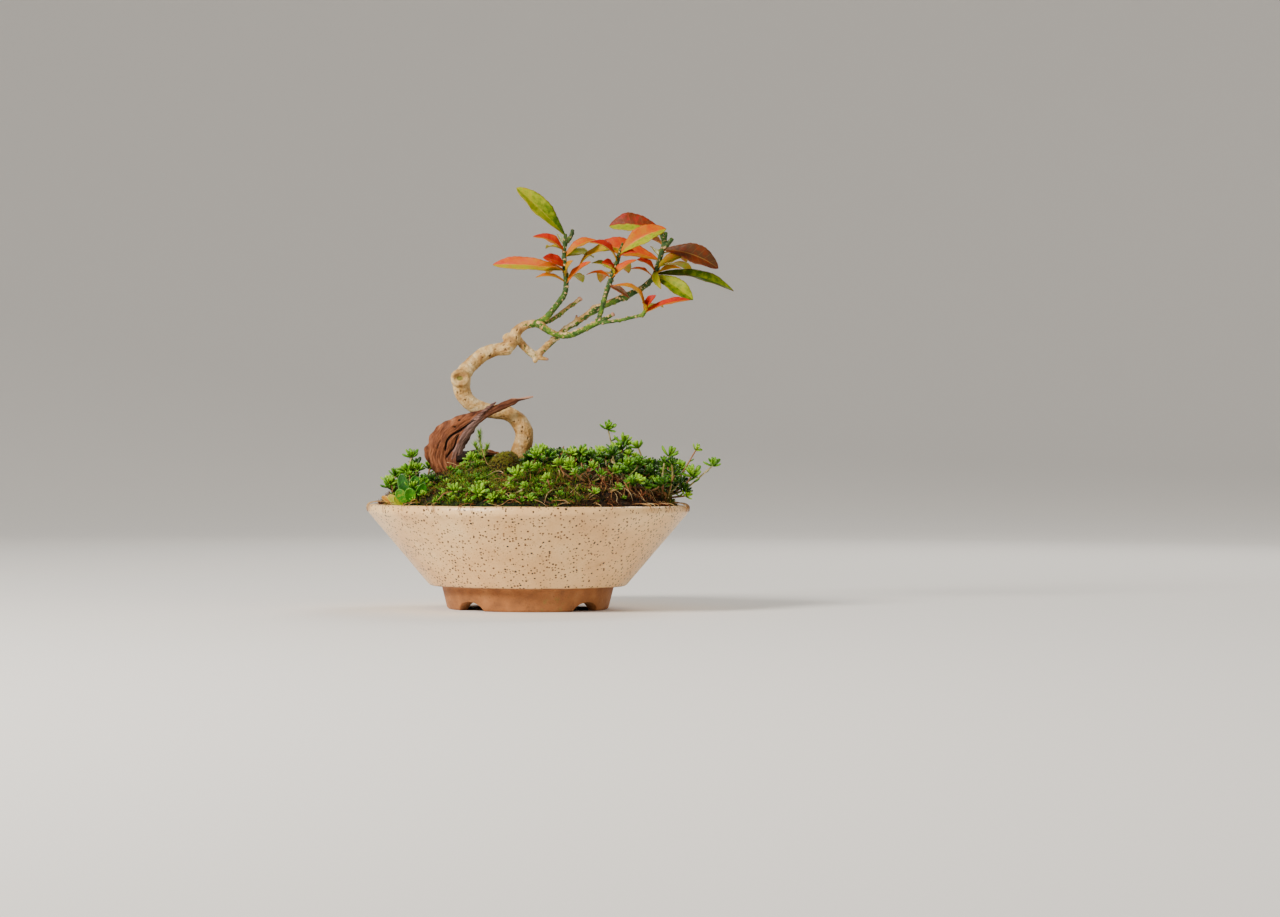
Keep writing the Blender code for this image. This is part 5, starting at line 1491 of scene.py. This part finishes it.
# Heads seen from the front: x, height and width across
SEEN_HEADS = [
    (9.6, 98.1, 11), (2, 88.5, 8), (8, 88.5, 7), (20.8, 90.9, 8), (27.2, 90.1, 9),
    (32.8, 97.3, 11), (27.2, 96.9, 8), (15.2, 95.3, 8), (45.2, 96.1, 13), (40.8, 88.9, 8),
    (30.8, 85.3, 5.5), (54.4, 86.1, 9), (60, 104, 12), (68.4, 101.7, 9), (54, 98.9, 10),
    (62.4, 96.9, 6), (66.8, 95.3, 6), (68.4, 80.5, 9), (88.4, 96.5, 12), (89.6, 89.3, 10),
    (102.4, 84.1, 13), (104.8, 100.1, 7), (98.8, 71.3, 8), (76, 92.1, 6), (77.6, 81.3, 5),
    (42.4, 73.7, 7), (56.8, 76.9, 6), (-87.9, 79.4, 8), (-79.9, 84.3, 8), (-66.9, 87.2, 8),
    (-33.7, 94, 8), (-41.7, 74.5, 9), (-26.7, 73.1, 11), (-34, 67.9, 5), (-10.2, 77.3, 5),
    (-4.6, 84.3, 10), (-52.9, 68, 5), (-72.5, 83.5, 6), (4.5, 70, 6), (1, 77.3, 6),
    (14, 82, 7), (-18, 70.5, 7),
]
GOLDEN_TURN = math.radians(137.5)
HEAD_STANDS = 9.0
STEM_RADII = (0.66, 0.58, 0.46)

# %% One fat leaf and one rosette
# Along the leaf: place, half width and half thickness, as shares of its length
FAT_STATIONS = [(0.0, 0.07, 0.06), (0.4, 0.14, 0.1), (0.74, 0.19, 0.11), (0.94, 0.12, 0.07)]
FAT_SIDES = 6
SMALL_STATIONS = [(0.0, 0.1, 0.08), (0.6, 0.24, 0.14), (0.9, 0.18, 0.1)]
SMALL_SIDES = 5


def fat_leaf(stations, sides, cup=0.16):
    """A closed leaf along X with its face up, one unit long."""
    angles = np.arange(sides) * math.tau / sides + math.pi / 2
    points = []
    for along, half, thick in stations:
        lift = cup * along**2
        for a in angles:
            rise = thick * math.sin(a) + lift + 0.25 * half * math.cos(a) ** 2
            points.append((along, half * math.cos(a), rise))
    points.append((-0.02, 0.0, 0.0))
    points.append((1.0, 0.0, cup))
    faces = grid_faces(len(stations), sides, ring=True) + end_faces(len(stations), sides)
    return np.array(points), faces


def standing(place, way, up, size):
    """A matrix that lays a shape's X along a way, with its Z as near to up as it can be."""
    x = way.normalized()
    y = up.cross(x).normalized()
    z = x.cross(y)
    made = Matrix((x * size, y * size, z * size)).transposed().to_4x4()
    made.translation = place
    return np.array(made)


FAT_LEAF = fat_leaf(FAT_STATIONS, FAT_SIDES)
SMALL_LEAF = fat_leaf(SMALL_STATIONS, SMALL_SIDES)


def add_leaves(heap, matrices, leaf, tints):
    """Copies of a leaf, each moved by its own matrix."""
    points, faces = leaf
    rows = np.column_stack([points, np.ones(len(points))])
    moved = np.einsum("nij,pj->npi", np.array(matrices), rows)[..., :3]
    heap.add(moved, faces, tint=np.array(tints), rise=np.tile(points[:, 0], (len(matrices), 1)))


def rosette(heap, centre, axis, across, leaves, draw, tint, leaf=FAT_LEAF):
    """Fat leaves round an axis, turned by the golden angle and more upright towards the middle."""
    axis = axis.normalized()
    first = axis.orthogonal().normalized()
    matrices, tints = [], []
    for k in range(leaves):
        share = k / max(leaves - 1, 1)
        out = first.copy()
        out.rotate(Matrix.Rotation(GOLDEN_TURN * k, 3, axis))
        rise = math.radians(14 + 66 * share**0.9) + draw.uniform(-0.14, 0.14)
        way = out * math.cos(rise) + axis * math.sin(rise)
        size = across / 2 * (1.16 - 0.5 * share**1.5) * draw.uniform(0.88, 1.12)
        place = centre + axis * (across * 0.16 * (share - 0.55)) + out * across * 0.03
        matrices.append(standing(place, way, axis, size))
        tints.append(tint + 0.22 * share + draw.uniform(-0.08, 0.08))
    add_leaves(heap, matrices, leaf, tints)


def sprig(heap, wood, foot, head, across, draw, tint):
    """A stem from the moss to a rosette, with a few leaves on the way."""
    way = head - foot
    bends = []
    for share, rise in ((0.4, 0.22), (0.75, 0.6)):
        x, y = way.x * share + draw.uniform(-1.8, 1.8), way.y * share + draw.uniform(-1.8, 1.8)
        bend = foot + Vector((x, y, 0.0))
        bend.z = max(float(moss_top(bend.x, bend.y)) + 1.2, foot.z + way.z * rise)
        bends.append((*bend, STEM_RADII[1]))
    route = smoothed([(*foot, STEM_RADII[0]), *bends, (*head, STEM_RADII[2])], 3)
    wood.add(*tube(route, 6), tint=draw.uniform(0.0, 1.0))
    top = Vector(route[-1, :3]) - Vector(route[-3, :3])
    stray = Vector((draw.uniform(-0.7, 0.7), draw.uniform(-0.9, 0.3), 0.0))
    axis = top.normalized() * 0.5 + UP * 0.6 + stray
    rosette(heap, head, axis, across, draw.randint(11, 15), draw, tint)
    matrices = []
    for k in range(draw.randint(2, 5)):
        at = Vector(route[-3 - k, :3]) if k + 3 <= len(route) else foot
        angle = GOLDEN_TURN * k + draw.uniform(0, 1)
        out = Vector((math.cos(angle), math.sin(angle), 0.35))
        matrices.append(standing(at, out, UP, across * draw.uniform(0.36, 0.52)))
    add_leaves(heap, matrices, FAT_LEAF, [tint - 0.12] * len(matrices))


# %% Grow every plant
FILLERS = 92
THICKET = 74
RIM_HEADS = 22
KEPT_FROM_RIM = 3.0
# The line that the heads reach to in the front view: x and height
SKYLINE_X = (-95, -60, -30, 0, 4, 20, 28, 50, 56, 66, 75, 82, 93, 101, 110)
SKYLINE_Z = (83, 94, 94, 90, 96, 95, 94, 95, 100, 103, 98, 94, 96, 93, 97)
HEAD_WIDTH = 10.0
BARE_HEAD_SHARE = 0.7
HEADS_GROW = 1.12
# A seen head grows somewhere on this line from back to front
FRONT_FROM_Y = 10.0
FRONT_STEP = 1.25
TRUNK_FOOT = (-7.0, 0.0)
SLAB_FOOT = (-50.0, -10.0)


def lowered(place):
    """The place of a head, brought down to the line that the heads reach to."""
    line = float(np.interp(place.x, SKYLINE_X, SKYLINE_Z))
    return Vector((place.x, place.y, min(place.z, max(line, float(moss_top(place.x, place.y)) + 2.0))))


def in_the_way(place):
    """Whether a head would hide the cushion, the trunk's foot, the bark or the fine sprig."""
    cushion = -25 < place.x < 0 and place.z > 77 and place.y < -8
    slab = -66 < place.x < -34 and place.z > 83 and place.y < -8
    fine = -37 < place.x < -22 and place.z > 77 and place.y < -20
    return cushion or slab or fine


heads = {name: [] for name in PLANTS}
packed_draw = random.Random(7)
packed_shade = random.Random(8)
for name, (x, y, count, spread, height) in PLANTS.items():
    start = packed_draw.uniform(0.0, math.tau)
    for k in range(count):
        angle = start + math.tau * k / count + packed_draw.uniform(-0.25, 0.25)
        reach = spread * packed_draw.uniform(0.85, 1.1)
        px, py = x + reach * math.cos(angle), y + reach * math.sin(angle)
        px, py = pulled_in(px, py, SOIL_RADIUS - 1.0)
        place = lowered(over_moss(px, py, height * packed_draw.uniform(0.6, 1.0) + 1.5))
        if not in_the_way(place):
            bare = px > 25 and py < -38
            across = HEAD_WIDTH * (BARE_HEAD_SHARE if bare else 1.0)
            heads[name].append((place - UP * 2.5 * bare, across, packed_shade.uniform(0.15, 0.6)))
    if name in LONG_SPRIGS:
        heads[name].append((Vector(LONG_SPRIGS[name]) + UP, HEAD_WIDTH, 0.5))
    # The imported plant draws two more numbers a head, so they are drawn here too
    for _ in range(2 * len(heads[name])):
        packed_draw.random()


def front_place(x, z, stands):
    """Where on the front slope a head at x and height z grows, if it stands so far above the moss."""
    best = (1e9, 0.0)
    for step in range(80):
        y = FRONT_FROM_Y - step * FRONT_STEP
        if math.hypot(x, y) < SOIL_RADIUS - KEPT_FROM_RIM:
            best = min(best, (abs(float(moss_top(x, y)) + stands - z), y))
    return best[1] if best[0] < 1e9 else -8.0


def nearest_plant(place):
    return min(PLANTS, key=lambda name: math.hypot(PLANTS[name][0] - place.x, PLANTS[name][1] - place.y))


for x, z, across in SEEN_HEADS:
    place = Vector((x, front_place(x, z, HEAD_STANDS), z))
    heads[nearest_plant(place)].append((place, across, packed_shade.uniform(0.54, 0.84)))
draw = random.Random(21)
for _ in range(FILLERS):
    reach = (SOIL_RADIUS - KEPT_FROM_RIM) * math.sqrt(draw.uniform(0.05, 1.0))
    angle = draw.uniform(math.radians(-40), math.radians(225))
    x, y = polar(reach, angle)
    if away(x, y, TRUNK_FOOT) < 14 or away(x, y, SLAB_FOOT) < 18:
        continue
    place = lowered(over_moss(x, y, draw.uniform(3.5, 11.0)))
    if not in_the_way(place):
        heads[nearest_plant(place)].append((place, draw.uniform(6.0, 11.0), draw.uniform(0.1, 0.6)))
for _ in range(THICKET):
    x = draw.uniform(2, 104)
    y = draw.uniform(-30 if x > 24 else -52, 32)
    if math.hypot(x, y) > SOIL_RADIUS - 4 or away(x, y, TRUNK_FOOT) < 14:
        continue
    place = lowered(over_moss(x, y, draw.uniform(4.0, 12.0)))
    heads[nearest_plant(place)].append((place, draw.uniform(7.0, 11.5), draw.uniform(0.02, 0.55)))
for _ in range(RIM_HEADS):
    angle, reach = draw.uniform(math.radians(-24), math.radians(34)), draw.uniform(84, 101)
    height = draw.uniform(71, 93) - 0.3 * max(reach - 94, 0)
    place = Vector((*polar(reach, angle), height))
    heads["sedum_right"].append((place, draw.uniform(7.0, 11.0), draw.uniform(0.05, 0.6)))


def stonecrop_finish():
    f = Finish("stonecrop", 0.4, Specular_IOR_Level=0.3, **glow(0.1, 0.0015))
    shade = f.plus(f.carried("tint"), f.waver(2.5, 3, -0.1, 0.1))
    base = f.ramp(
        shade,
        [(0.0, (12, 32, 4)), (0.28, (38, 78, 6)), (0.55, (82, 138, 12)),
         (0.95, (152, 196, 36))],
    )
    # Painted shade darkens each leaf towards its base, deep in the rosette.
    base = f.mix(f.range(f.carried("rise"), 0.0, 0.5, 0.6, 0.0), base, (40, 76, 16))
    base = f.mix(f.range(f.carried("rise"), 0.93, 1.0, 0.0, 0.4), base, (168, 190, 96))
    return f.done(base, f.waver(1.5, 2, 0.32, 0.5), f.bump(f.noise(0.5, 2), 0.05))


def stem_finish():
    f = Finish("stonecrop stem", 0.6, Specular_IOR_Level=0.3)
    base = f.ramp(f.plus(f.carried("tint"), f.waver(2, 3, -0.2, 0.2)), [
        (0.0, (120, 74, 46)), (0.4, (150, 104, 66)), (0.7, (126, 122, 58)), (1.0, (186, 168, 120)),
    ])
    return f.done(base, None, f.bump(f.noise(0.6, 2), 0.12))


stonecrop = stonecrop_finish()
stonecrop_stem = stem_finish()
for name, plan in PLANTS.items():
    draw = random.Random(name)
    heap, wood = Heap("tint", "rise"), Heap("tint")
    for place, across, tint in heads[name]:
        out = Vector((place.x - plan[0], place.y - plan[1], 0.0))
        drift = min(out.length, draw.uniform(7, 13) + 1.2 * max(math.hypot(place.x, place.y) - 88, 0))
        foot = place - (out.normalized() * drift if out.length > 0.1 else out)
        foot = Vector((*pulled_in(foot.x, foot.y, SOIL_RADIUS - 2.0), 0.0))
        foot = over_moss(foot.x, foot.y, -1.0)
        sprig(heap, wood, foot, place, across * HEADS_GROW, draw, tint)
    piece(name + "_leaves", heap.mesh(name + "_leaves"), stonecrop, "stonecrop", name)
    piece(name + "_stems", wood.mesh(name + "_stems"), stonecrop_stem, "stonecrop", name)

# %% Short shoots that creep through the moss
CREEPERS = 200
heap = Heap("tint", "rise")
draw = random.Random(33)
for k in range(CREEPERS):
    reach = (SOIL_RADIUS - 2.5) * math.sqrt(draw.uniform(0.1, 1.0))
    front = k % 2
    angle = draw.uniform(math.radians(205), math.radians(300)) if front else draw.uniform(0, math.tau)
    x, y = polar(reach, angle)
    on_hump = math.hypot(x - CUSHION_X, (y + 34) / 2.4) < 12
    if away(x, y, TRUNK_FOOT) < 12 or away(x, y, SLAB_FOOT) < 14 or on_hump:
        continue
    if x > 20 and y < -15 and draw.random() < 0.8:
        continue
    across = draw.uniform(3.4, 6.6)
    centre = over_moss(x, y, draw.uniform(0.5, 2.6))
    axis = UP + Vector((draw.uniform(-0.5, 0.5), draw.uniform(-0.7, 0.3), 0.0))
    rosette(heap, centre, axis, across, draw.randint(7, 10), draw, draw.uniform(0.2, 0.7), SMALL_LEAF)
piece("creeping_shoots", heap.mesh("creeping_shoots"), stonecrop, "stonecrop", "moss")

# %% [markdown]
# ## Round leaves, a fine sprig and a cushion of moss
#
# Three other plants found their way into the pot. By the left rim stands one with round, spoon-shaped
# leaves on short stalks; beside the bark a thin sprig with needles; at the foot of the trunk a cushion of
# olive moss, which goes on down the slope in front. The round leaves are grids bent like the tree's own
# leaves, but with an oval outline. Needles and cushion reuse the stars of blades, since both are nothing
# but fine blades on a core.

# %% Round leaves
CROWN = Vector((-69.0, -53.0, 65.5))
# Each leaf: its tip, its width and its tint, from 0, dark green, through 0.5, bright, to 1, dry
SPOONS = [
    ((-76.8, -60, 75), 7.6, 0.5), ((-69.6, -63, 75.8), 7.2, 0.46), ((-61.4, -60, 78.6), 6.6, 0.42),
    ((-75.8, -54, 84.4), 6.8, 0.3), ((-67.2, -53, 83.4), 7.2, 0.34), ((-57.6, -56, 75.2), 4.8, 0.26),
    ((-64.4, -60, 72.6), 5.2, 0.2), ((-73, -45, 80.6), 6.4, 0.22), ((-62.4, -46, 79.6), 6, 0.24),
    ((-84, -48, 71), 4.8, 0.68), ((-80, -54, 70.2), 5, 0.62), ((-66.2, -64.5, 69), 4.6, 0.9),
    ((-88.6, -39, 70.4), 4.4, 0.8),
]
SPOON_STEPS = 16
SPOON_COLUMNS = 9
SPOON_THICKNESS = 0.5
STALK_SHARE = 0.24


def spoon_leaf(base, tip, width):
    """A round blade on a short stalk, cupped, with its face turned to the front."""
    way = tip - base
    across = Vector((1.0, 0.25 * math.sin(tip.x), 0.0))
    across = (across - way * across.dot(way) / way.length_squared).normalized()
    face = way.cross(across).normalized()
    if face.y > 0:
        face = -face
    points = []
    for i in range(SPOON_STEPS + 1):
        t = i / SPOON_STEPS
        oval = 1 - ((t - (1 + STALK_SHARE) / 2) / ((1 - STALK_SHARE) / 2)) ** 2
        half = max(width / 2 * math.sqrt(max(oval, 0.0)), 0.55 * (t < 0.6), 0.05)
        middle = base + way * t - face * 2.2 * t * (1 - t)
        for j in range(SPOON_COLUMNS + 1):
            v = 2 * j / SPOON_COLUMNS - 1
            points.append(middle + across * half * v + face * (0.28 * half * v * v))
    return points


row = SPOON_COLUMNS + 1
spoon_v = np.abs(np.tile(np.linspace(-1, 1, row), SPOON_STEPS + 1))
heap = Heap("tint", "v")
for tip, width, tint in SPOONS:
    tip = Vector(tip)
    base = CROWN.lerp(Vector((tip.x, tip.y, CROWN.z)), 0.35) - UP * 1.5
    heap.add(spoon_leaf(base, tip, width), grid_faces(SPOON_STEPS + 1, row), tint=tint, v=spoon_v)


def spoon_finish():
    f = Finish("round leaf", 0.34, Specular_IOR_Level=0.32, **glow(0.1, 0.0015))
    shade = f.plus(f.carried("tint"), f.waver(2.4, 3, -0.08, 0.08))
    base = f.ramp(
        shade,
        [(0.0, (12, 44, 10)), (0.3, (26, 86, 8)), (0.5, (56, 136, 10)),
         (0.66, (170, 160, 26)), (0.82, (190, 128, 40)), (1.0, (110, 62, 28))],
    )
    base = f.mix(f.range(f.carried("v"), 0.8, 1.0, 0.0, 0.16), base, (150, 180, 70))
    base = f.mix(f.range(f.carried("v"), 0.0, 0.1, 0.16, 0.0), base, (110, 170, 60))
    return f.done(base, f.waver(1.5, 2, 0.22, 0.38), f.bump(f.noise(0.9, 3), 0.12))


round_leaves = thickened(heap.mesh("round_leaves"), SPOON_THICKNESS)
piece("round_leaves", round_leaves, spoon_finish(), "spoon_leaf", "spoon_plant")

# %% Fine sprig
SPRIG_STEMS = [
    [(-29, -20, 84, 0.7), (-27.8, -20.4, 94, 0.55), (-29.2, -20.8, 103, 0.45),
     (-30, -21, 109.6, 0.3)],
    [(-28.2, -20.4, 92, 0.45), (-25.8, -21.2, 97.6, 0.38), (-24.6, -21.6, 101.4, 0.25)],
    [(-28.6, -20.6, 96, 0.4), (-31.4, -20.8, 99.6, 0.35), (-32.6, -21, 102, 0.25)],
    [(-28.4, -20.2, 88, 0.5), (-31.2, -21.4, 90.4, 0.4), (-33.6, -22, 94, 0.3)],
]
needles, wood = Heap("tint", "rise"), Heap("tint")
for k, route in enumerate(SPRIG_STEMS):
    line = smoothed(route, 8)
    wood.add(*tube(line, 6), tint=0.66)
    places = line[3 if k else 8:, :3]
    count = len(places)
    upright = np.tile((0.0, 0.0, 0.5), (count, 1))
    stars(50 + k, places, upright, np.full(count, 4.4), 0.7, np.full(count, 0.05), needles, (0.5, 1.3))
needle_finish = shoot_finish("needles", (128, 186, 50), (96, 140, 40), (120, 96, 50))
piece("fine_needles", needles.mesh("fine_needles"), needle_finish, "stonecrop", "fine_sprig")
piece("fine_stems", wood.mesh("fine_stems"), stonecrop_stem, "stonecrop", "fine_sprig")

# %% Cushion of moss
# Each hump: its middle, its reach, its height over the soil in the middle and at the edge, how many
# stars of blades it has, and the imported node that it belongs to
HUMPS = {
    "cushion": ((CUSHION_X, -15.4), (8.2, 8.2), 10.4, 1.9, 620, "moss_cushion"),
    "cushion_foot": ((CUSHION_X, -34.0), (9.0, 20.0), 11.4, 4.0, 1400, "moss"),
}
HUMP_RINGS = 24
HUMP_AROUND = 72
cushion_moss = shoot_finish("cushion moss", (122, 132, 26), (80, 80, 20), (42, 34, 12))
draw = np.random.default_rng(8)
for name, (at, reach, height, edge, count, node) in HUMPS.items():
    def hump_place(share, turn):
        """A point of the hump's top, from its middle, share 0, to its edge, share 1."""
        x, y = at[0] + reach[0] * share * math.cos(turn), at[1] + reach[1] * share * math.sin(turn)
        dome = math.sqrt(1.0 - 0.96 * share**2)
        bumps = 1.1 * noise.noise(Vector((x * 0.5, y * 0.5, 0.0))) + 0.5 * noise.noise(Vector((x, y, 5.0)))
        return x, y, float(soil_top(x, y)) + edge + (height - edge) * dome + bumps * (1.0 - share**4)

    points = [hump_place(0.0, 0.0)]
    for ring in range(1, HUMP_RINGS + 1):
        share = math.sin(math.pi / 2 * ring / HUMP_RINGS)
        points.extend(hump_place(share, math.tau * k / HUMP_AROUND) for k in range(HUMP_AROUND))
    points.extend((x, y, z - edge * 0.6 - 1.0) for x, y, z in points[-HUMP_AROUND:])
    points.append((*at, float(soil_top(*at)) + 0.6))
    faces = mound_faces(HUMP_RINGS + 1, HUMP_AROUND)
    heap = Heap("tint", "rise")
    # The rise of 0.2 gives the hump's core painted shade, nearly as dark as a blade's foot.
    heap.add(points, faces, tint=0.8, rise=0.2)
    shares, turns = np.sqrt(draw.uniform(0.0, 0.98, count)), draw.uniform(0, math.tau, count)
    where = np.array([hump_place(s, t) for s, t in zip(shares, turns)])
    lean = np.column_stack([np.cos(turns), np.sin(turns), np.zeros(count)]) * (shares**2 * 1.6)[:, None]
    tints = 0.25 + 0.3 * shares + draw.normal(0, 0.22, count)
    stars(9, where, lean, draw.uniform(1.0, 2.2, count), 0.36, tints, heap, (0.1, 0.9))
    piece(name, heap.mesh(name), cushion_moss, "cushion_moss", node)

# %% [markdown]
# ## Rootlets and litter
#
# Old stems, rootlets and crumbs of bark lie all over real moss, most of all along the right rim, where
# the stonecrop has gone bare. They are what makes the ground look alive. Rootlets are thin tubes that
# wander just above the moss, some hang over the rim, and crumbs are small flakes in brown shades.

# %% Rootlets
ROOTLETS = 210
PALE_ROOT_RADIUS = 0.17
RIM_STRANDS = 64
STICKS = 110
# A strand over the rim, from the moss to its hanging end: distance from the axis and height
OVER_THE_RIM = [(89.0, 66.5), (94.0, 67.0), (98.8, 66.3), (100.9, 64.6), (100.9, 64.4)]
# Two long pale roots in front of the bark and the cushion: x, y and height
PALE_ROOTS = [
    [(-28.1, -24, 99.9), (-26.1, -30, 94.4), (-23.5, -36, 90), (-17.2, -44, 88.6),
     (-13.6, -52, 85.6), (-10, -58, 81.6)],
    [(-49.5, -26, 91.4), (-45.3, -30, 90.6), (-41.7, -33, 89.4), (-37, -31, 91.4),
     (-31.8, -28, 91.6)],
]
wires = Heap("tint")
draw = random.Random(55)


def rootlet(x, y, turn, length, radius, hump, tint):
    """A thin root that wanders over the moss from one place."""
    route = []
    for k in range(5):
        x, y = pulled_in(x, y, SOIL_RADIUS - 1.5)
        lift = 0.9 + hump * math.sin(math.pi * k / 4)
        route.append((x, y, float(moss_top(x, y)) + lift, radius * (1 - 0.14 * k)))
        turn += draw.uniform(-0.7, 0.7)
        x, y = x + math.cos(turn) * length / 4, y + math.sin(turn) * length / 4
    wires.add(*tube(smoothed(route, 3), 5), tint=tint)


for k in range(ROOTLETS):
    bare = k % 3 > 0
    angle = draw.uniform(math.radians(-100), math.radians(10)) if bare else draw.uniform(0, math.tau)
    reach = SOIL_RADIUS * math.sqrt(draw.uniform(0.35 if bare else 0.05, 0.98))
    rootlet(*polar(reach, angle), draw.uniform(0, math.tau), draw.uniform(6, 15),
            draw.uniform(0.16, 0.34), draw.uniform(0.2, 3.0), draw.random())
for k in range(RIM_STRANDS):
    front, right = draw.uniform(-2.6, -0.4), draw.gauss(-0.12, 0.07)
    left, anywhere = draw.gauss(3.25, 0.06), draw.uniform(0, math.tau)
    angle = (front, right, left, anywhere)[k % 4]
    turn, drop = angle + draw.uniform(-0.07, 0.07), draw.uniform(0.6, 4.5)
    end_r, end_z = OVER_THE_RIM[-1]
    route = [*OVER_THE_RIM[:-1], (end_r, end_z - drop)]
    line = [(*polar(r, a), z, 0.26 - 0.03 * i)
            for i, ((r, z), a) in enumerate(zip(route, np.linspace(angle, turn, 5)))]
    wires.add(*tube(smoothed(line, 3), 5), tint=draw.uniform(0.3, 0.9))
for k in range(STICKS):
    x, y = draw.uniform(20, 88), draw.uniform(-66, 0)
    if math.hypot(x, y) < SOIL_RADIUS - 2:
        z = float(moss_top(x, y))
        route = [(x, y, z - 0.5, 0.42)]
        for _ in range(3):
            x, y, z = x + draw.uniform(-2.5, 2.5), y + draw.uniform(-2.5, 2.0), z + draw.uniform(1.5, 3.8)
            route.append((x, y, z, 0.34))
        wires.add(*tube(smoothed(route, 3), 5), tint=draw.uniform(0.0, 0.7))
for route in PALE_ROOTS:
    wires.add(*tube(smoothed([(*place, PALE_ROOT_RADIUS) for place in route], 5), 6), tint=0.72)


def rootlet_finish():
    f = Finish("rootlets", 0.7, Specular_IOR_Level=0.25)
    base = f.ramp(f.plus(f.carried("tint"), f.waver(2, 3, -0.15, 0.15)), [
        (0.0, (58, 34, 18)), (0.35, (122, 66, 34)), (0.65, (158, 116, 66)), (1.0, (212, 186, 134)),
    ])
    return f.done(base, None, f.bump(f.noise(0.8, 2), 0.15))


piece("rootlets", wires.mesh("rootlets"), rootlet_finish(), "moss", "moss")

# %% Crumbs
CRUMBS = 900
RIM_GRAINS = 420
RIM_GRAIN_REACH = (91.6, 93.4)
RIM_GRAIN_Z = (62.5, 64.6)
FLAKE = np.array([(-1, -0.5, 0), (1, -0.4, 0.1), (0.9, 0.5, -0.1), (-0.8, 0.6, 0.15),
                  (-0.9, -0.4, 0.35), (0.8, -0.4, 0.5), (0.7, 0.4, 0.3), (-0.9, 0.5, 0.5)])
FLAKE_FACES = [(0, 3, 2, 1), (4, 5, 6, 7), (0, 1, 5, 4), (1, 2, 6, 5), (2, 3, 7, 6), (3, 0, 4, 7)]
crumbs = Heap("tint")
for k in range(CRUMBS + RIM_GRAINS):
    angle = draw.uniform(0, math.tau)
    if k < CRUMBS:
        if k % 2:
            angle = draw.uniform(math.radians(-110), math.radians(15))
        reach = SOIL_RADIUS * math.sqrt(draw.uniform(0.1, 0.97))
        x, y = polar(reach, angle)
        z, size = float(moss_top(x, y)) + draw.uniform(0.4, 1.6), draw.uniform(0.5, 1.5)
    else:
        reach = draw.uniform(*RIM_GRAIN_REACH)
        x, y = polar(reach, angle)
        z, size = draw.uniform(*RIM_GRAIN_Z), draw.uniform(0.5, 0.9)
    turned = Matrix.Rotation(draw.uniform(0, math.tau), 3, "Z")
    turned = turned @ Matrix.Rotation(draw.uniform(-0.6, 0.6), 3, "X")
    shape = FLAKE * (size, size * draw.uniform(0.5, 1.0), size * draw.uniform(0.4, 1.0))
    crumbs.add(shape @ np.array(turned).T + (x, y, z), FLAKE_FACES, tint=draw.uniform(0.0, 0.7))


def crumb_finish():
    f = Finish("crumbs", 0.85, Specular_IOR_Level=0.2)
    base = f.ramp(f.plus(f.carried("tint"), f.waver(1.5, 3, -0.15, 0.15)), [
        (0.0, (30, 20, 13)), (0.35, (84, 48, 26)), (0.6, (138, 88, 50)), (0.9, (190, 150, 98)),
    ])
    return f.done(base, None, f.bump(f.noise(0.6, 3), 0.3))


crumb_mesh = crumbs.mesh("crumbs")
crumb_mesh.shade_flat()
piece("crumbs", crumb_mesh, crumb_finish(), "moss", "moss")

# %% [markdown]
# ## Soil and drain screen
#
# The soil shows only in the drain hole and in the crack along the rim, and the plastic screen only from
# below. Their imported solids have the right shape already, so they stay and only get a finish.

# %% Soil and drain screen


def soil_finish():
    f = Finish("potting mix", 0.95, Specular_IOR_Level=0.15)
    grains = f.cells(2.4, f.shifted(1.5, 1.0))
    shade = f.split(grains.outputs["Color"])[0]
    base = f.ramp(shade, [(0.2, (34, 24, 16)), (0.6, (78, 54, 34)), (0.95, (132, 100, 64))])
    # Painted shade darkens the gaps between the grains.
    base = f.mix(f.range(grains.outputs["Distance"], 0.35, 0.6, 0.0, 0.8), base, (16, 11, 8))
    return f.done(base, None, f.bump(f.minus(1.0, grains.outputs["Distance"]), 1.4))


def screen_finish():
    f = Finish("screen plastic", 0.5, Specular_IOR_Level=0.45)
    base = f.ramp(f.noise(4, 3), [(0.3, (28, 28, 27)), (0.7, (50, 48, 44))])
    return f.done(base, f.waver(2, 3, 0.4, 0.65), f.bump(f.noise(0.8, 3), 0.1))


for node, finish in (("soil", soil_finish()), ("drain_screen", screen_finish())):
    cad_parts[node].data.materials.clear()
    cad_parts[node].data.materials.append(finish)

# %% Closing lines
size = {
    "cad": [list(corner) for corner in packed_box],
    "visual": [list(corner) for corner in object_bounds()],
}
